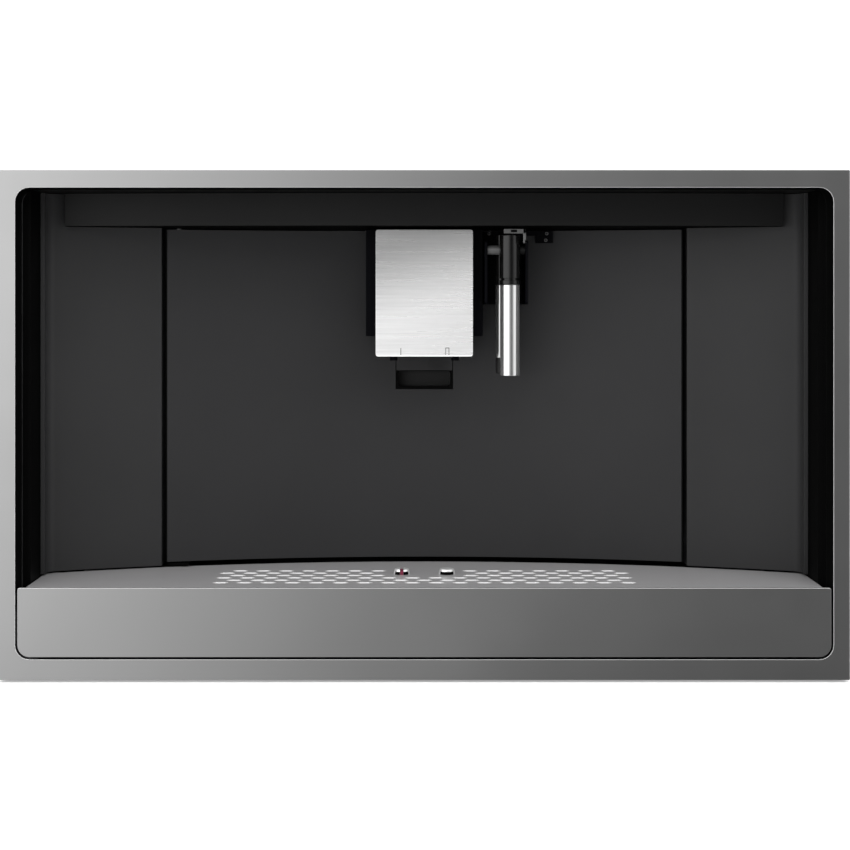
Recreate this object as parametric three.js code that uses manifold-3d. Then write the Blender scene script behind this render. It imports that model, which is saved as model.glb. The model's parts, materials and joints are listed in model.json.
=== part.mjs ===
// A built-in coffee machine for a kitchen niche 568 mm wide and 360 mm high.
// Millimetres. +X is right, the front faces -Y and +Z is up. The origin lies on the niche floor,
// in the middle of the width and of the overall depth.
import * as THREE from 'three';
import { mergeVertices } from 'three/addons/utils/BufferGeometryUtils.js';
import { LoftGeometry } from 'three/addons/geometries/LoftGeometry.js';
import Module from 'manifold-3d';

const wasm = await Module();
wasm.setup();

// ---- Fits ----
const seat = 0.3; // between pieces that rest on each other
const runGap = 0.8; // between pieces that move past each other
const pinGap = 0.4; // round a pin in its hole

// ---- Overall size and front frame ----
const frontWidth = 596;
const frontHeight = 357;
const overallDepth = 380;
const nicheGap = 1.5; // the front ends this far above the niche floor
const frameDepth = 22;
const frameWall = 1.5;
const frameSlit = 2.5;
const frameCorner = 0.8;
const bezelSide = 11.5;
const bezelTop = 12.25;
const bezelBottom = 14.35;
const cornerRadius = 10;

// ---- Chassis, casing and mounting rails ----
const frontCover = 14.5; // the front reaches past the body by this much on each side
const bodyDrop = 6.5; // from the front's top down to the casing's top
const casingSheet = 1.2;
const chassisSheet = 1.5;
const socketProud = 1.5; // the mains socket stands out of the rear panel by this much
const crossBarThick = 3;
const crossBarWidth = 30;
const crossBarInset = 1;
const crossBarCorner = 4;
const crossBarDepths = [50, 320];
const panGap = 1.5; // between the cross bars and the base pan
const railSpace = 20; // between the side of the pan and the side of the chassis
const panHeight = 42.5;
const panFrontDepth = 27;
const railDepth = 32;
const railLength = 330;
const railSheet = 1.5;
const railHeight = 38.7;
const railFlange = 13;
const ventLength = 40;
const ventWidth = 3;
const ventPitch = 8;
const ventCount = 6;
const ventDrop = 62; // from the casing's top to the middle of the upper vents
const ventLow = 110;
const ventToRear = 60;
const ventGroupPitch = 80;

// ---- Cup niche: liner, curved back wall and hood ----
const linerWall = 1.5;
const flangeDepth = 20;
const bulkheadClear = 16; // room behind the wall's deepest line for the door's ribs and grip
const wallRadius = 758;
const wallDeepest = 111;
const wallThick = 3;
const wallFillet = 8;
const wallLip = 6;
const doorwayInset = 134; // from the side of the chassis to the side of the doorway
const doorwaySill = 6;
const doorwayDrop = 40;
const hoodInset = 16.5;
const hoodHeight = 24.1;
const hoodEndThick = 9.5; // from the hood's front to the wall at its two ends
const hoodBow = 8; // the middle of its front ahead of the ends
const hoodWall = 2;

// ---- Drip tray ----
const plateTop = 65.9; // height of the cup plate above the niche floor
const plateThick = 1.5;
const plateSideGap = 1;
const plateCorner = 8;
const trayGap = 1.6; // dark line round the tray front
const trayPanel = 2.5;
const trayTopCorner = 1.6;
const trayBoxWall = 2;
const trayBoxInset = 0.5;
const basinSideClear = 6;
const basinBottom = 19;
const basinLength = 170;
const basinWall = 2.2;
const basinCorner = 12;
const basinRunner = 12; // width of the strips under the basin
const slotPitch = 17.1;
const slotLength = 12;
const slotWidth = 5.6;
const slotRowPitch = 10;
const slotRows = 6;
const slotFullRows = 3; // the rows in front of the two studs
const slotsEachSide = 8.5; // pitches from the middle to the last slot of a full row
const slotFrontDepth = 21;
const studClear = 28; // half width kept free of slots round the two studs
const studHalfSpacing = 16.6;
const studDepth = 59;
const studRadius = 5.3;
const studRise = 3;
const studEdge = 1;
const floatRadius = 7;
const floatHeight = 18;
const floatStem = 1.8;
const flagThick = 2.2; // the float's flag stands in a slot across the left stud
const floatTravel = 6;

// ---- Service door with finger grip ----
const doorHalf = 195;
const doorThick = 3;
const doorSideGap = 3;
const doorFloorGap = 4.3;
const doorTopGap = 1;
const doorRib = 5;
const doorRibThick = 2;
const doorRibPlaces = [0.24, 0.88]; // shares of the door's height
const doorRibHalf = 172;
const doorPostHalf = 110;
const pivotInset = 9;
const knuckleRadius = 4;
const knuckleHeight = 10;
const hingePin = 2.2;
const pinHead = 4;
const bracketThick = 2;
const gripHalf = 21.6;
const gripHeight = 35;
const gripDrop = 26.5; // from the spout's foot to the grip's
const gripRim = 1.7;
const pocketHeight = 12.3;
const pocketDepth = 12;
const pocketCorner = 2;

// ---- Height-adjustable spout ----
const guideHalf = 43.9;
const guideHeight = 79.95;
const guideReach = 31; // in front of the wall's deepest line
const guideCap = 3;
const borneTopGap = 1.3; // between what the door carries and the hood
const tongueHalf = 8;
const tongueNeck = 8;
const tongueHead = 7;
const tongueHeadHalf = 14;
const carriageHalf = 35.4;
const carriageThick = 18.2;
const carriageCorner = 3;
const spoutHeight = 94.55; // from the spout's foot to the gap under the hood
const spoutPlateHalf = 35.9;
const spoutPlateThick = 1.5;
const spoutPlateCorner = 1.5;
const outletHalfSpacing = 22.8;
const outletRadius = 2.9;
const outletBore = 1.7;
const outletDrop = 3.3;
const outletBar = 11;
const outletBarEdge = 1; // round the tubes' sides
const outletBarCorner = 3;
const outletSkin = 3; // over the ends of the two bores
const spoutHollow = 17;

// ---- Hot-water and steam nozzle ----
const nozzleFromGuide = 19.8;
const nozzleReach = 41; // in front of the wall's deepest line
const nozzleRadius = 7.7;
const nozzleRise = 11.4; // above the tilting axis
const nozzleNeckDrop = 21.3; // below it
const nozzleNeck = 1.2;
const nozzleRing = 3.2;
const sleeveRadius = 7.25;
const sleeveWall = 1.2;
const sleeveLength = 67.5;
const steamOffset = 5.7; // to the left of the nozzle
const steamBehind = 10;
const steamRadius = 4.7;
const tiltBehind = 4;
const tiltDrop = 15.55; // below the gap under the hood
const trunnionRadius = 3.5;
const trunnionPin = 1.8;
const cheekThick = 2;
const cheekLeftReach = 18.8;
const cheekRightReach = 13.5;
const cheekDrop = 40.5;
const cheekRise = 7;
const cheekAhead = 2;
const cheekCorner = 3;
const carrierBack = 2.5;
const carrierTabReach = 34.7;
const carrierTabWidth = 13;
const carrierTabHeight = 9.2;
const carrierBarHeight = 3.6;

// ---- Water system ----
const tankSideClear = 10;
const tankWidth = 72;
const tankFromBulkhead = 11.5;
const tankToRear = 82.3;
const tankBottom = 72;
const tankWall = 2.5;
const tankCorner = 8;
const tankNipple = 6;
const tankNippleLength = 4;
const lidThick = 2.4;
const lidOverlap = 3;
const lidCorner = 5;
const barrelRadius = 2.6;
const barrelBore = 1.5;
const barrelPin = 1.2;
const barrelEnd = 8;
const earHalf = 8;
const earGap = 2;
const basinClear = 10; // room behind the drip basin
const tankSeatPlatform = 5;
const tankSeatClear = 5;
const pumpFromDoorway = 17;
const pumpToRear = 37.3;
const pumpZ = 36;
const pumpRadius = 20;
const pumpLength = 84;
const pumpEnd = 12;
const pumpFlange = 3;
const pumpFlangeInset = 26;
const hoseRadius = 4;
const nippleRadius = 3.5;
const heaterFromDoorway = 18;
const heaterWidth = 90;
const heaterToRear = 137.3;
const heaterThick = 44;
const heaterInlet = 22.5; // from the heater's right side
const heaterHeight = 100;
const heaterRibs = 6;
const heaterRibDepth = 6;

// ---- Bean system ----
const grinderFromDoorway = 58;
const grinderFromBulkhead = 51.5;
const grinderRadius = 46;
const grinderDrop = 117; // from the casing's top to the grinder's foot
const grinderHeight = 53;
const grinderWall = 4;
const burrChamber = 33;
const beanHole = 22;
const burrFlutes = 8;
const burrFluteWidth = 2;
const shaftRadius = 5;
const motorRadius = 35;
const motorLength = 82;
const motorEdge = 4;
const hopperWidth = 132;
const hopperFromBulkhead = 9.5;
const hopperDepth = 122;
const hopperWall = 2.5;
const hopperCorner = 8;
const shoulderDrop = 22;
const funnelDrop = 53; // from the casing's top to where the funnel meets the neck
const neckGap = 0.5;
const chuteGap = 2;
const chuteClear = 2.5; // above the chamber's rim
const chuteTopRise = 3.94; // the chute's upper end above the grinder's foot
const chuteHeight = 17;
const chuteHalf = 9;
const chuteWall = 1.5;
const knobFromHopper = 30;
const knobRadius = 17;
const knobHeight = 5.2;
const knobFlutes = 12;
const fluteRadius = 2;
const knobStem = 4;
const knobStemLength = 90;

// ---- Brew system in its bay behind the door ----
const bayGap = 2.4; // between the drip basin and the bay above it
const bayDrop = 34;
const bayToRear = 68.5;
const brewFromDoorway = 78;
const chamberFromBulkhead = 47.5;
const chamberRadius = 24;
const chamberBore = 20.3;
const chamberBottom = 150;
const chamberHeight = 60;
const chamberFloor = 6;
const chamberEdge = 3;
const armHalf = 9;
const armHeight = 14;
const screwBehind = 38; // the screw's axis behind the chamber's
const screwRadius = 5;
const screwCollar = 8;
const brewMotorRadius = 18;
const brewMotorHeight = 31.4;
const brewHalf = 35;
const brewFrontReach = 26;
const brewBackReach = 64;
const brewBase = 100;
const brewBaseThick = 6;
const brewFrameHeight = 170;
const brewArmThick = 8;
const brewSpine = 12.6; // half the web between the two windows
const pistonGap = 0.6;
const pistonClear = 12; // above the chamber's rim
const pistonHead = 18;
const containerFromDoorway = 8;
const containerFromBrew = 15;
const containerFromHeater = 26.3;
const containerHeight = 82;
const containerWall = 2.2;
const containerCorner = 10;

// ---- Electrics on the rear panel ----
const boardLeft = 0;
const boardWidth = 140;
const boardDrop = 52;
const boardHeight = 110;
const boardThick = 1.6;
const boardStandoff = 9.4;
const boardPost = 3;
const boardPostInset = 8;
const relaySize = 16;
const relayPitch = 24;
const coilRadius = 16;
const plugHeight = 11;
const socketFromDoorway = 62;
const socketZ = 110;
const socketHalfWidth = 20;
const socketHalfHeight = 34;
const socketRim = 3;
const socketBody = 30;
const inletHalfWidth = 12.3;
const inletHalfHeight = 8.4;
const inletDepth = 18;
const inletCorner = 3;
const bladePitch = 7;
const bladeThick = 2;
const bladeHeight = 4;
const bladeInset = 3; // behind the socket's face
const inletDrop = 17; // inlet centre below the middle of the socket block
const switchHalfWidth = 10;
const switchHalfHeight = 12.5;
const switchThick = 10;
const switchPivotDepth = 7.5;
const switchSwing = 1.6;
const switchPin = 1.5;
const switchPinHole = 2; // depth of the pin's holes beside the well
const switchDip = 1.5; // hollow of the rocker's face

// ---- Finishes ----
const finish = (color, roughness, metalness) =>
  new THREE.MeshStandardMaterial({ color, roughness, metalness });
const satinMetal = finish(0x8c8c8c, 0.38, 1);
const brushedSteel = finish(0xc4c4c8, 0.3, 1);
const chrome = finish(0xe8e8ea, 0.08, 1);
const glossBlack = finish(0x0b0b0c, 0.2, 0);
const satinBlack = finish(0x2c2c2d, 0.45, 0);
const mouldedBlack = finish(0x141415, 0.55, 0);
const zincSheet = finish(0xa9adb0, 0.5, 0.9);
const castMetal = finish(0xb5b6b8, 0.6, 0.9);
const motorSteel = finish(0x6f7275, 0.45, 0.9);
const burrSteel = finish(0x86898c, 0.3, 1);
const clearPlastic = finish(0xcfd8dc, 0.15, 0);
const smokedPlastic = finish(0x3a322c, 0.2, 0);
const greyPlastic = finish(0x9a9c9e, 0.5, 0);
const redPlastic = finish(0xb0182a, 0.4, 0);
const boardGreen = finish(0x1f6b3d, 0.5, 0);
const hoseRubber = finish(0x202020, 0.8, 0);

// ---- Outlines ----
const mergeTolerance = 1e-4;
const over = 1; // how far a cutting body runs past the face it cuts
const roundSteps = 16;
const wideSteps = 20; // round pieces over 60 mm across
const point = (u, v) => new THREE.Vector2(u, v);

function arc(u, v, radius, from, to, steps) {
  return Array.from({ length: steps + 1 }, (_, i) => {
    const angle = from + ((to - from) * i) / steps;
    return point(u + radius * Math.cos(angle), v + radius * Math.sin(angle));
  });
}

const circle = (u, v, radius, steps = roundSteps) => arc(u, v, radius, 0, 2 * Math.PI, steps);
const rect = (u0, u1, v0, v1) => [point(u0, v0), point(u1, v0), point(u1, v1), point(u0, v1)];
const mirrored = (outline) => outline.map((p) => point(-p.x, p.y));

function roundedRect(u0, u1, v0, v1, radius, steps = 4) {
  const r = Math.min(radius, (u1 - u0) / 2, (v1 - v0) / 2);
  const quarter = Math.PI / 2;
  return [
    ...arc(u1 - r, v0 + r, r, -quarter, 0, steps),
    ...arc(u1 - r, v1 - r, r, 0, quarter, steps),
    ...arc(u0 + r, v1 - r, r, quarter, 2 * quarter, steps),
    ...arc(u0 + r, v0 + r, r, 2 * quarter, 3 * quarter, steps),
  ];
}

// Drops points that repeat the one before, also across the outline's end.
function tidy(outline) {
  return outline.filter((p, i) => p.distanceTo(outline.at(i - 1)) > mergeTolerance);
}

// ---- Solids ----
const axisX = new THREE.Vector3(1, 0, 0);
const axisY = new THREE.Vector3(0, 1, 0);
const axisZ = new THREE.Vector3(0, 0, 1);
const turns = {
  x: new THREE.Matrix4().makeBasis(axisY, axisZ, axisX), // outlines in (y, z)
  y: new THREE.Matrix4().makeBasis(axisX, axisZ, axisY.clone().negate()), // outlines in (x, z)
  z: new THREE.Matrix4(), // outlines in (x, y)
};

function manifold(vertProperties, triVerts) {
  return new wasm.Manifold(new wasm.Mesh({ numProp: 3, vertProperties, triVerts }));
}

// A three.js geometry as a closed solid with its faces pointing out.
function solid(geometry) {
  const bare = new THREE.BufferGeometry();
  bare.setAttribute('position', geometry.getAttribute('position'));
  bare.setIndex(geometry.index);
  const merged = mergeVertices(bare, mergeTolerance);
  const index = Array.from(merged.index.array);
  const faces = [];
  const flipped = [];
  for (let i = 0; i < index.length; i += 3) {
    const [a, b, c] = index.slice(i, i + 3);
    if (a === b || b === c || c === a) continue;
    faces.push(a, b, c);
    flipped.push(a, c, b);
  }
  const points = merged.attributes.position.array;
  const made = manifold(points, new Uint32Array(faces));
  return made.volume() > 0 ? made : manifold(points, new Uint32Array(flipped));
}

const cut = (body, ...tools) => tools.reduce((rest, tool) => rest.subtract(tool), body);
const join = (body, ...more) => more.reduce((sum, piece) => sum.add(piece), body);

// An outline extruded along an axis, with holes through it.
function slab(axis, outline, from, to, holes = []) {
  const shape = new THREE.Shape(tidy(outline));
  const geometry = new THREE.ExtrudeGeometry(shape, { depth: to - from, bevelEnabled: false });
  geometry.translate(0, 0, axis === 'y' ? -to : from);
  const body = solid(geometry.applyMatrix4(turns[axis]));
  return cut(body, ...holes.map((hole) => slab(axis, hole, from - over, to + over)));
}

const block = (x0, x1, y0, y1, z0, z1) => slab('z', rect(x0, x1, y0, y1), z0, z1);
const rod = (axis, u, v, radius, from, to, steps) =>
  slab(axis, circle(u, v, radius, steps), from, to);

// A profile of [radius, height] pairs turned round a vertical axis.
function turned(x, y, profile, steps = roundSteps) {
  const points = profile.map(([radius, height]) => point(radius, height));
  const geometry = new THREE.LatheGeometry(points, steps);
  return solid(geometry.rotateX(Math.PI / 2).translate(x, y, 0));
}

// An open-topped tub with rounded upright edges.
function tub(x0, x1, y0, y1, z0, z1, corner, wall) {
  const inner = roundedRect(x0 + wall, x1 - wall, y0 + wall, y1 - wall, corner - wall);
  return cut(
    slab('z', roundedRect(x0, x1, y0, y1, corner), z0, z1),
    slab('z', inner, z0 + wall, z1 + over),
  );
}

// A round bar along a smooth path.
function hose(path, radius) {
  const curve = new THREE.CatmullRomCurve3(path.map((p) => new THREE.Vector3(...p)));
  const shape = new THREE.Shape(tidy(circle(0, 0, radius, 8)));
  return solid(new THREE.ExtrudeGeometry(shape, { steps: 18, extrudePath: curve }));
}

function part(group, name, material, body) {
  const mesh = body.getMesh();
  const geometry = new THREE.BufferGeometry();
  geometry.setAttribute('position', new THREE.BufferAttribute(mesh.vertProperties, 3));
  geometry.setIndex(new THREE.BufferAttribute(mesh.triVerts, 1));
  geometry.computeVertexNormals();
  const node = new THREE.Mesh(geometry, material);
  node.name = name;
  group.add(node);
}

// ---- Places worked out from the sizes ----
const frontY = -overallDepth / 2;
const rearY = overallDepth / 2;
const at = (depth) => frontY + depth; // y of a place this far behind the front plane
const frameBackY = at(frameDepth);
const frameBottom = nicheGap;
const frameTop = frameBottom + frontHeight;
const frontHalf = frontWidth / 2;
const openHalf = frontHalf - bezelSide;
const openBottom = frameBottom + bezelBottom;
const openTop = frameTop - bezelTop;

const bodyHalf = frontHalf - frontCover;
const bodyTop = frameTop - bodyDrop;
const casingInner = bodyHalf - casingSheet;
const chassisHalf = casingInner - seat;
const linerHalf = chassisHalf - linerWall;
const crossBarHalf = chassisHalf - crossBarInset;
const panHalf = chassisHalf - railSpace;
const panBottom = crossBarThick + panGap;
const panFloor = panBottom + chassisSheet;
const panTop = panBottom + panHeight;
const onShelf = panTop + seat;
const onPan = panFloor + seat;
const coverBottom = bodyTop - chassisSheet;
const underCover = coverBottom - seat;
const vesselTop = bodyTop - seat;
const rearOuterY = rearY - socketProud;
const rearInnerY = rearOuterY - casingSheet;
const casingRearY = rearInnerY - seat;
const bulkheadY = at(wallDeepest + bulkheadClear);
const bulkheadBackY = bulkheadY + chassisSheet;
const linerBackY = bulkheadY - seat;

const wallCentreY = at(wallDeepest) - wallRadius;
const wallY = (x, radius = wallRadius) => wallCentreY + Math.sqrt(radius ** 2 - x ** 2);
const wallArc = (radius, x0, x1, steps) =>
  arc(0, wallCentreY, radius, Math.acos(x0 / radius), Math.acos(x1 / radius), steps);
const hoodBottom = openTop - seat - hoodHeight;
const hoodHalf = linerHalf - hoodInset;
const jambHalf = doorHalf + doorSideGap;
const borneTop = hoodBottom - borneTopGap;

const plateBottom = plateTop - plateThick;
const plateHalf = linerHalf - plateSideGap;
const trayHalf = openHalf - trayGap;
const trayBottom = openBottom + trayGap;
const trayBoxBack = at(flangeDepth) - seat;
const underPlate = plateBottom - seat;
const basinHalf = panHalf - basinSideClear;
const basinFrontY = trayBoxBack + seat;
const basinBackY = basinFrontY + basinLength;
const shelfBottom = underPlate + bayGap;
const shelfTop = shelfBottom + chassisSheet;
const onBayShelf = shelfTop + seat;
const doorwayHalf = chassisHalf - doorwayInset;
const doorwayBottom = shelfTop + doorwaySill;
const doorwayTop = bodyTop - doorwayDrop;

const doorBottom = plateTop + doorFloorGap;
const doorTop = hoodBottom - doorTopGap;
const pivotX = -(doorHalf - pivotInset);
const pivotY = wallY(pivotX) + knuckleRadius + seat;

const guideDepth = wallDeepest - guideReach;
const guideBottom = borneTop - guideHeight;
const carriageDepth = guideDepth - carriageThick;
const spoutBottom = borneTop - spoutHeight;
const gripBottom = spoutBottom - gripDrop;
const nozzleX = guideHalf + nozzleFromGuide;
const nozzleY = at(wallDeepest - nozzleReach);
const steamX = nozzleX - steamOffset;
const steamY = nozzleY + steamBehind;
const tiltY = nozzleY + tiltBehind;
const tiltHeight = borneTop - tiltDrop;
const nozzleTop = tiltHeight + nozzleRise;
const nozzleNeckTop = tiltHeight - nozzleNeckDrop;

const grinderX = doorwayHalf + grinderFromDoorway;
const grinderY = bulkheadBackY + grinderFromBulkhead;
const grinderBottom = bodyTop - grinderDrop;
const hopperLeft = grinderX - hopperWidth / 2;
const hopperRight = hopperLeft + hopperWidth;
const hopperFront = bulkheadBackY + hopperFromBulkhead;
const hopperRear = hopperFront + hopperDepth;
const knobY = hopperRear + knobFromHopper;
const socketX = doorwayHalf + socketFromDoorway;

const tankLeft = -chassisHalf + tankSideClear;
const tankRight = tankLeft + tankWidth;
const tankFront = bulkheadBackY + tankFromBulkhead;
const tankRear = rearInnerY - tankToRear;
const pumpX = -doorwayHalf - pumpFromDoorway;
const pumpY = rearInnerY - pumpToRear;
const heaterLeft = -doorwayHalf + heaterFromDoorway;
const heaterFront = rearInnerY - heaterToRear;

const brewX = doorwayHalf - brewFromDoorway;
const chamberY = bulkheadBackY + chamberFromBulkhead;
const chamberTop = chamberBottom + chamberHeight;
const screwY = chamberY + screwBehind;
const brewFront = chamberY - brewFrontReach;
const brewBack = chamberY + brewBackReach;
const brewTop = brewBase + brewFrameHeight;

// ---- Telescopic rails that stay in the niche ----
function railOutline(webX, reach, bottom, top) {
  const inward = webX + Math.sign(reach) * -railSheet;
  const tip = webX - reach;
  return [
    point(webX, bottom),
    point(webX, top),
    point(tip, top),
    point(tip, top - railSheet),
    point(inward, top - railSheet),
    point(inward, bottom + railSheet),
    point(tip, bottom + railSheet),
    point(tip, bottom),
  ];
}

function makeRails(group) {
  const bottom = crossBarThick + seat;
  const top = bottom + railHeight;
  const nest = railSheet + seat + seat;
  const inner = panHalf + seat;
  const outlines = {
    outer: railOutline(crossBarHalf - seat, railFlange, bottom, top),
    middle: railOutline(crossBarHalf - seat - nest, railFlange - nest, bottom + nest, top - nest),
    inner: railOutline(inner, -railFlange + nest, bottom + 2 * nest, top - 2 * nest),
  };
  for (const [member, outline] of Object.entries(outlines)) {
    for (const [side, shape] of [['left', mirrored(outline)], ['right', outline]]) {
      const rail = slab('y', shape, at(railDepth), at(railDepth + railLength));
      part(group, `rail_${member}_${side}`, zincSheet, rail);
    }
  }
  crossBarDepths.forEach((depth, i) => {
    const outline = roundedRect(
      -crossBarHalf,
      crossBarHalf,
      at(depth),
      at(depth + crossBarWidth),
      crossBarCorner,
    );
    part(group, ['cross_bar_front', 'cross_bar_rear'][i], zincSheet, slab('z', outline, 0, crossBarThick));
  });
}

// ---- Front frame ----
function openingOutline(grow) {
  return roundedRect(
    -openHalf - grow,
    openHalf + grow,
    openBottom - grow,
    openTop + grow,
    cornerRadius + grow,
    6,
  );
}

function makeFrontFrame() {
  const w = frameWall;
  const outer = roundedRect(-frontHalf, frontHalf, frameBottom, frameTop, frameCorner, 2);
  const hollow = rect(-frontHalf + w, frontHalf - w, frameBottom + w, frameTop - w);
  const ring = slab('y', outer, frontY, frameBackY, [openingOutline(0)]);
  const channel = slab('y', hollow, frontY + w, frameBackY - w, [openingOutline(w)]);
  const slit = slab('y', openingOutline(w + frameSlit), frameBackY - w - w, frameBackY + over, [
    openingOutline(w),
  ]);
  return cut(ring, channel, slit);
}

// ---- Cup niche ----
// Liner whose front flange fits inside the opening and follows its rounded upper corners.
function makeLiner() {
  const outer = linerHalf + linerWall;
  const cornerX = openHalf - cornerRadius;
  const cornerZ = openTop - cornerRadius;
  const rim = cornerRadius - seat;
  const reach = linerHalf - cornerX;
  const tunnel = slab(
    'y',
    [
      point(-outer, onShelf),
      point(-outer, openTop + linerWall),
      point(outer, openTop + linerWall),
      point(outer, onShelf),
      point(linerHalf, onShelf),
      point(linerHalf, openTop),
      point(-linerHalf, openTop),
      point(-linerHalf, onShelf),
    ],
    frameBackY + seat,
    linerBackY,
  );
  const flangeOutline = [
    point(linerHalf, onShelf),
    point(openHalf - seat, onShelf),
    ...arc(cornerX, cornerZ, rim, 0, Math.acos(reach / rim), 5),
  ];
  const cheekTop = cornerZ + Math.sqrt(rim ** 2 - (reach + linerWall) ** 2);
  const cheekOutline = rect(linerHalf, outer, onShelf, cheekTop);
  const sides = [(outline) => outline, mirrored].map((side) =>
    join(
      slab('y', side(flangeOutline), at(flangeDepth), at(flangeDepth) + linerWall),
      slab('y', side(cheekOutline), at(flangeDepth), frameBackY + seat + over),
    ),
  );
  return join(tunnel, ...sides);
}

// Right-hand wall panel seen from above: jamb, shallow arc, hollow fillet and lip on the liner.
function wallPanelOutline() {
  const lipX = linerHalf - seat;
  const filletX = lipX - wallThick - wallFillet;
  const filletY = wallY(filletX, wallRadius - wallFillet);
  const meet = Math.atan2(filletY - wallCentreY, filletX);
  const back = wallRadius + wallThick;
  const jambBackX = jambHalf + wallThick;
  return [
    ...arc(0, wallCentreY, wallRadius, Math.acos(jambHalf / wallRadius), meet, 6),
    ...arc(filletX, filletY, wallFillet, meet, 0, 4),
    point(lipX - wallThick, filletY - wallLip),
    point(lipX, filletY - wallLip),
    ...arc(filletX, filletY, wallFillet + wallThick, 0, meet, 4),
    ...arc(0, wallCentreY, back, meet, Math.acos(jambBackX / back), 6),
    point(jambBackX, linerBackY),
    point(jambHalf, linerBackY),
  ];
}

function makeBulkhead() {
  const slotHalf = basinHalf + 2 * runGap;
  const slotTop = underPlate + runGap;
  const outline = [
    point(-chassisHalf, onShelf),
    point(-slotHalf, onShelf),
    point(-slotHalf, slotTop),
    point(slotHalf, slotTop),
    point(slotHalf, onShelf),
    point(chassisHalf, onShelf),
    point(chassisHalf, underCover),
    point(-chassisHalf, underCover),
  ];
  const doorway = roundedRect(-doorwayHalf, doorwayHalf, doorwayBottom, doorwayTop, cornerRadius, 3);
  return slab('y', outline, bulkheadY, bulkheadBackY, [doorway]);
}

// The hood seen from above, drawn in by the given inset: bowed front, back against the wall.
function hoodOutline(inset) {
  const half = hoodHalf - inset;
  const bow = (hoodHalf ** 2 + hoodBow ** 2) / (2 * hoodBow);
  const bowY = wallY(hoodHalf) - hoodEndThick - hoodBow + bow;
  const bowEnd = Math.acos(half / (bow - inset));
  const back = wallRadius - seat - inset;
  const jamb = jambHalf - seat - inset;
  const wing = arc(0, wallCentreY, back, Math.acos(half / back), Math.acos(jamb / back), 4);
  const rear = linerBackY - inset;
  return [
    ...arc(0, bowY, bow - inset, Math.PI + bowEnd, 2 * Math.PI - bowEnd, 12),
    ...wing,
    point(jamb, rear),
    point(-jamb, rear),
    ...mirrored(wing).reverse(),
  ];
}

function makeHood() {
  const top = openTop - seat;
  return cut(
    slab('z', hoodOutline(0), hoodBottom, top),
    slab('z', hoodOutline(hoodWall), hoodBottom + hoodWall, top + over),
    rod('z', pivotX, pivotY, hingePin + pinGap, hoodBottom - over, top, 12),
  );
}

function makeNiche(group) {
  part(group, 'liner', glossBlack, makeLiner());
  const wallBottom = plateTop + 5 * seat;
  const wallTop = openTop - seat;
  const outline = wallPanelOutline();
  part(group, 'wall_panel_left', satinBlack, slab('z', mirrored(outline), wallBottom, wallTop));
  part(group, 'wall_panel_right', satinBlack, slab('z', outline, wallBottom, wallTop));
  part(group, 'bulkhead', zincSheet, makeBulkhead());
  part(group, 'hood', mouldedBlack, makeHood());
}

// ---- Chassis and casing ----
function makeBasePan() {
  const s = chassisSheet;
  const half = [
    point(panHalf, panBottom),
    point(panHalf, panTop - s),
    point(chassisHalf, panTop - s),
    point(chassisHalf, panTop),
    point(panHalf - s, panTop),
    point(panHalf - s, panFloor),
  ];
  const tray = slab('y', [...half, ...mirrored(half).reverse()], at(panFrontDepth), casingRearY);
  const runner = basinHalf - basinCorner;
  const runnerHalf = basinRunner / 2;
  const runnerTop = basinBottom - seat;
  const runners = [-runner, runner].map((x) =>
    block(x - runnerHalf, x + runnerHalf, at(panFrontDepth), basinBackY, panFloor - s / 2, runnerTop),
  );
  return join(tray, ...runners);
}

// Rows of upright vent slots centred on (u, v).
function vents(u, v) {
  return Array.from({ length: ventCount }, (_, i) => {
    const middle = u + (i - (ventCount - 1) / 2) * ventPitch;
    return rect(middle - ventWidth / 2, middle + ventWidth / 2, v - ventLength / 2, v + ventLength / 2);
  });
}

function makeSidePanel(side) {
  const outline = rect(frameBackY + seat, casingRearY, onShelf, underCover);
  const holes = [bodyTop - ventDrop, ventLow].flatMap((height) => vents(rearInnerY - ventToRear, height));
  const faces = [side * casingInner, side * bodyHalf];
  return slab('x', outline, Math.min(...faces), Math.max(...faces), holes);
}

function makeRearPanel() {
  const half = [point(panHalf, panBottom), point(panHalf, onShelf), point(bodyHalf, onShelf)];
  const right = [...half, point(bodyHalf, underCover)];
  const socketHole = rect(
    socketX - socketHalfWidth - seat,
    socketX + socketHalfWidth + seat,
    socketZ - socketHalfHeight - seat,
    socketZ + socketHalfHeight + seat,
  );
  const groups = [-socketX, ventGroupPitch - socketX, socketX];
  const holes = groups.flatMap((x) => vents(x, bodyTop - ventDrop));
  const outline = [...right, ...mirrored(right).reverse()];
  return slab('y', outline, rearInnerY, rearOuterY, [...holes, socketHole]);
}

function makeTopCover() {
  const gap = runGap;
  const holes = [
    roundedRect(tankLeft - gap, tankRight + gap, tankFront - gap, tankRear + gap, tankCorner + gap),
    roundedRect(hopperLeft - gap, hopperRight + gap, hopperFront - gap, hopperRear + gap, hopperCorner + gap),
    circle(grinderX, knobY, knobStem + pinGap, 12),
  ];
  return slab('z', rect(-bodyHalf, bodyHalf, frameBackY + seat, rearOuterY), coverBottom, bodyTop, holes);
}

function makeCasing(group) {
  part(group, 'base_pan', zincSheet, makeBasePan());
  part(group, 'side_panel_left', zincSheet, makeSidePanel(-1));
  part(group, 'side_panel_right', zincSheet, makeSidePanel(1));
  part(group, 'rear_panel', zincSheet, makeRearPanel());
  part(group, 'top_cover', zincSheet, makeTopCover());
}

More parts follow.
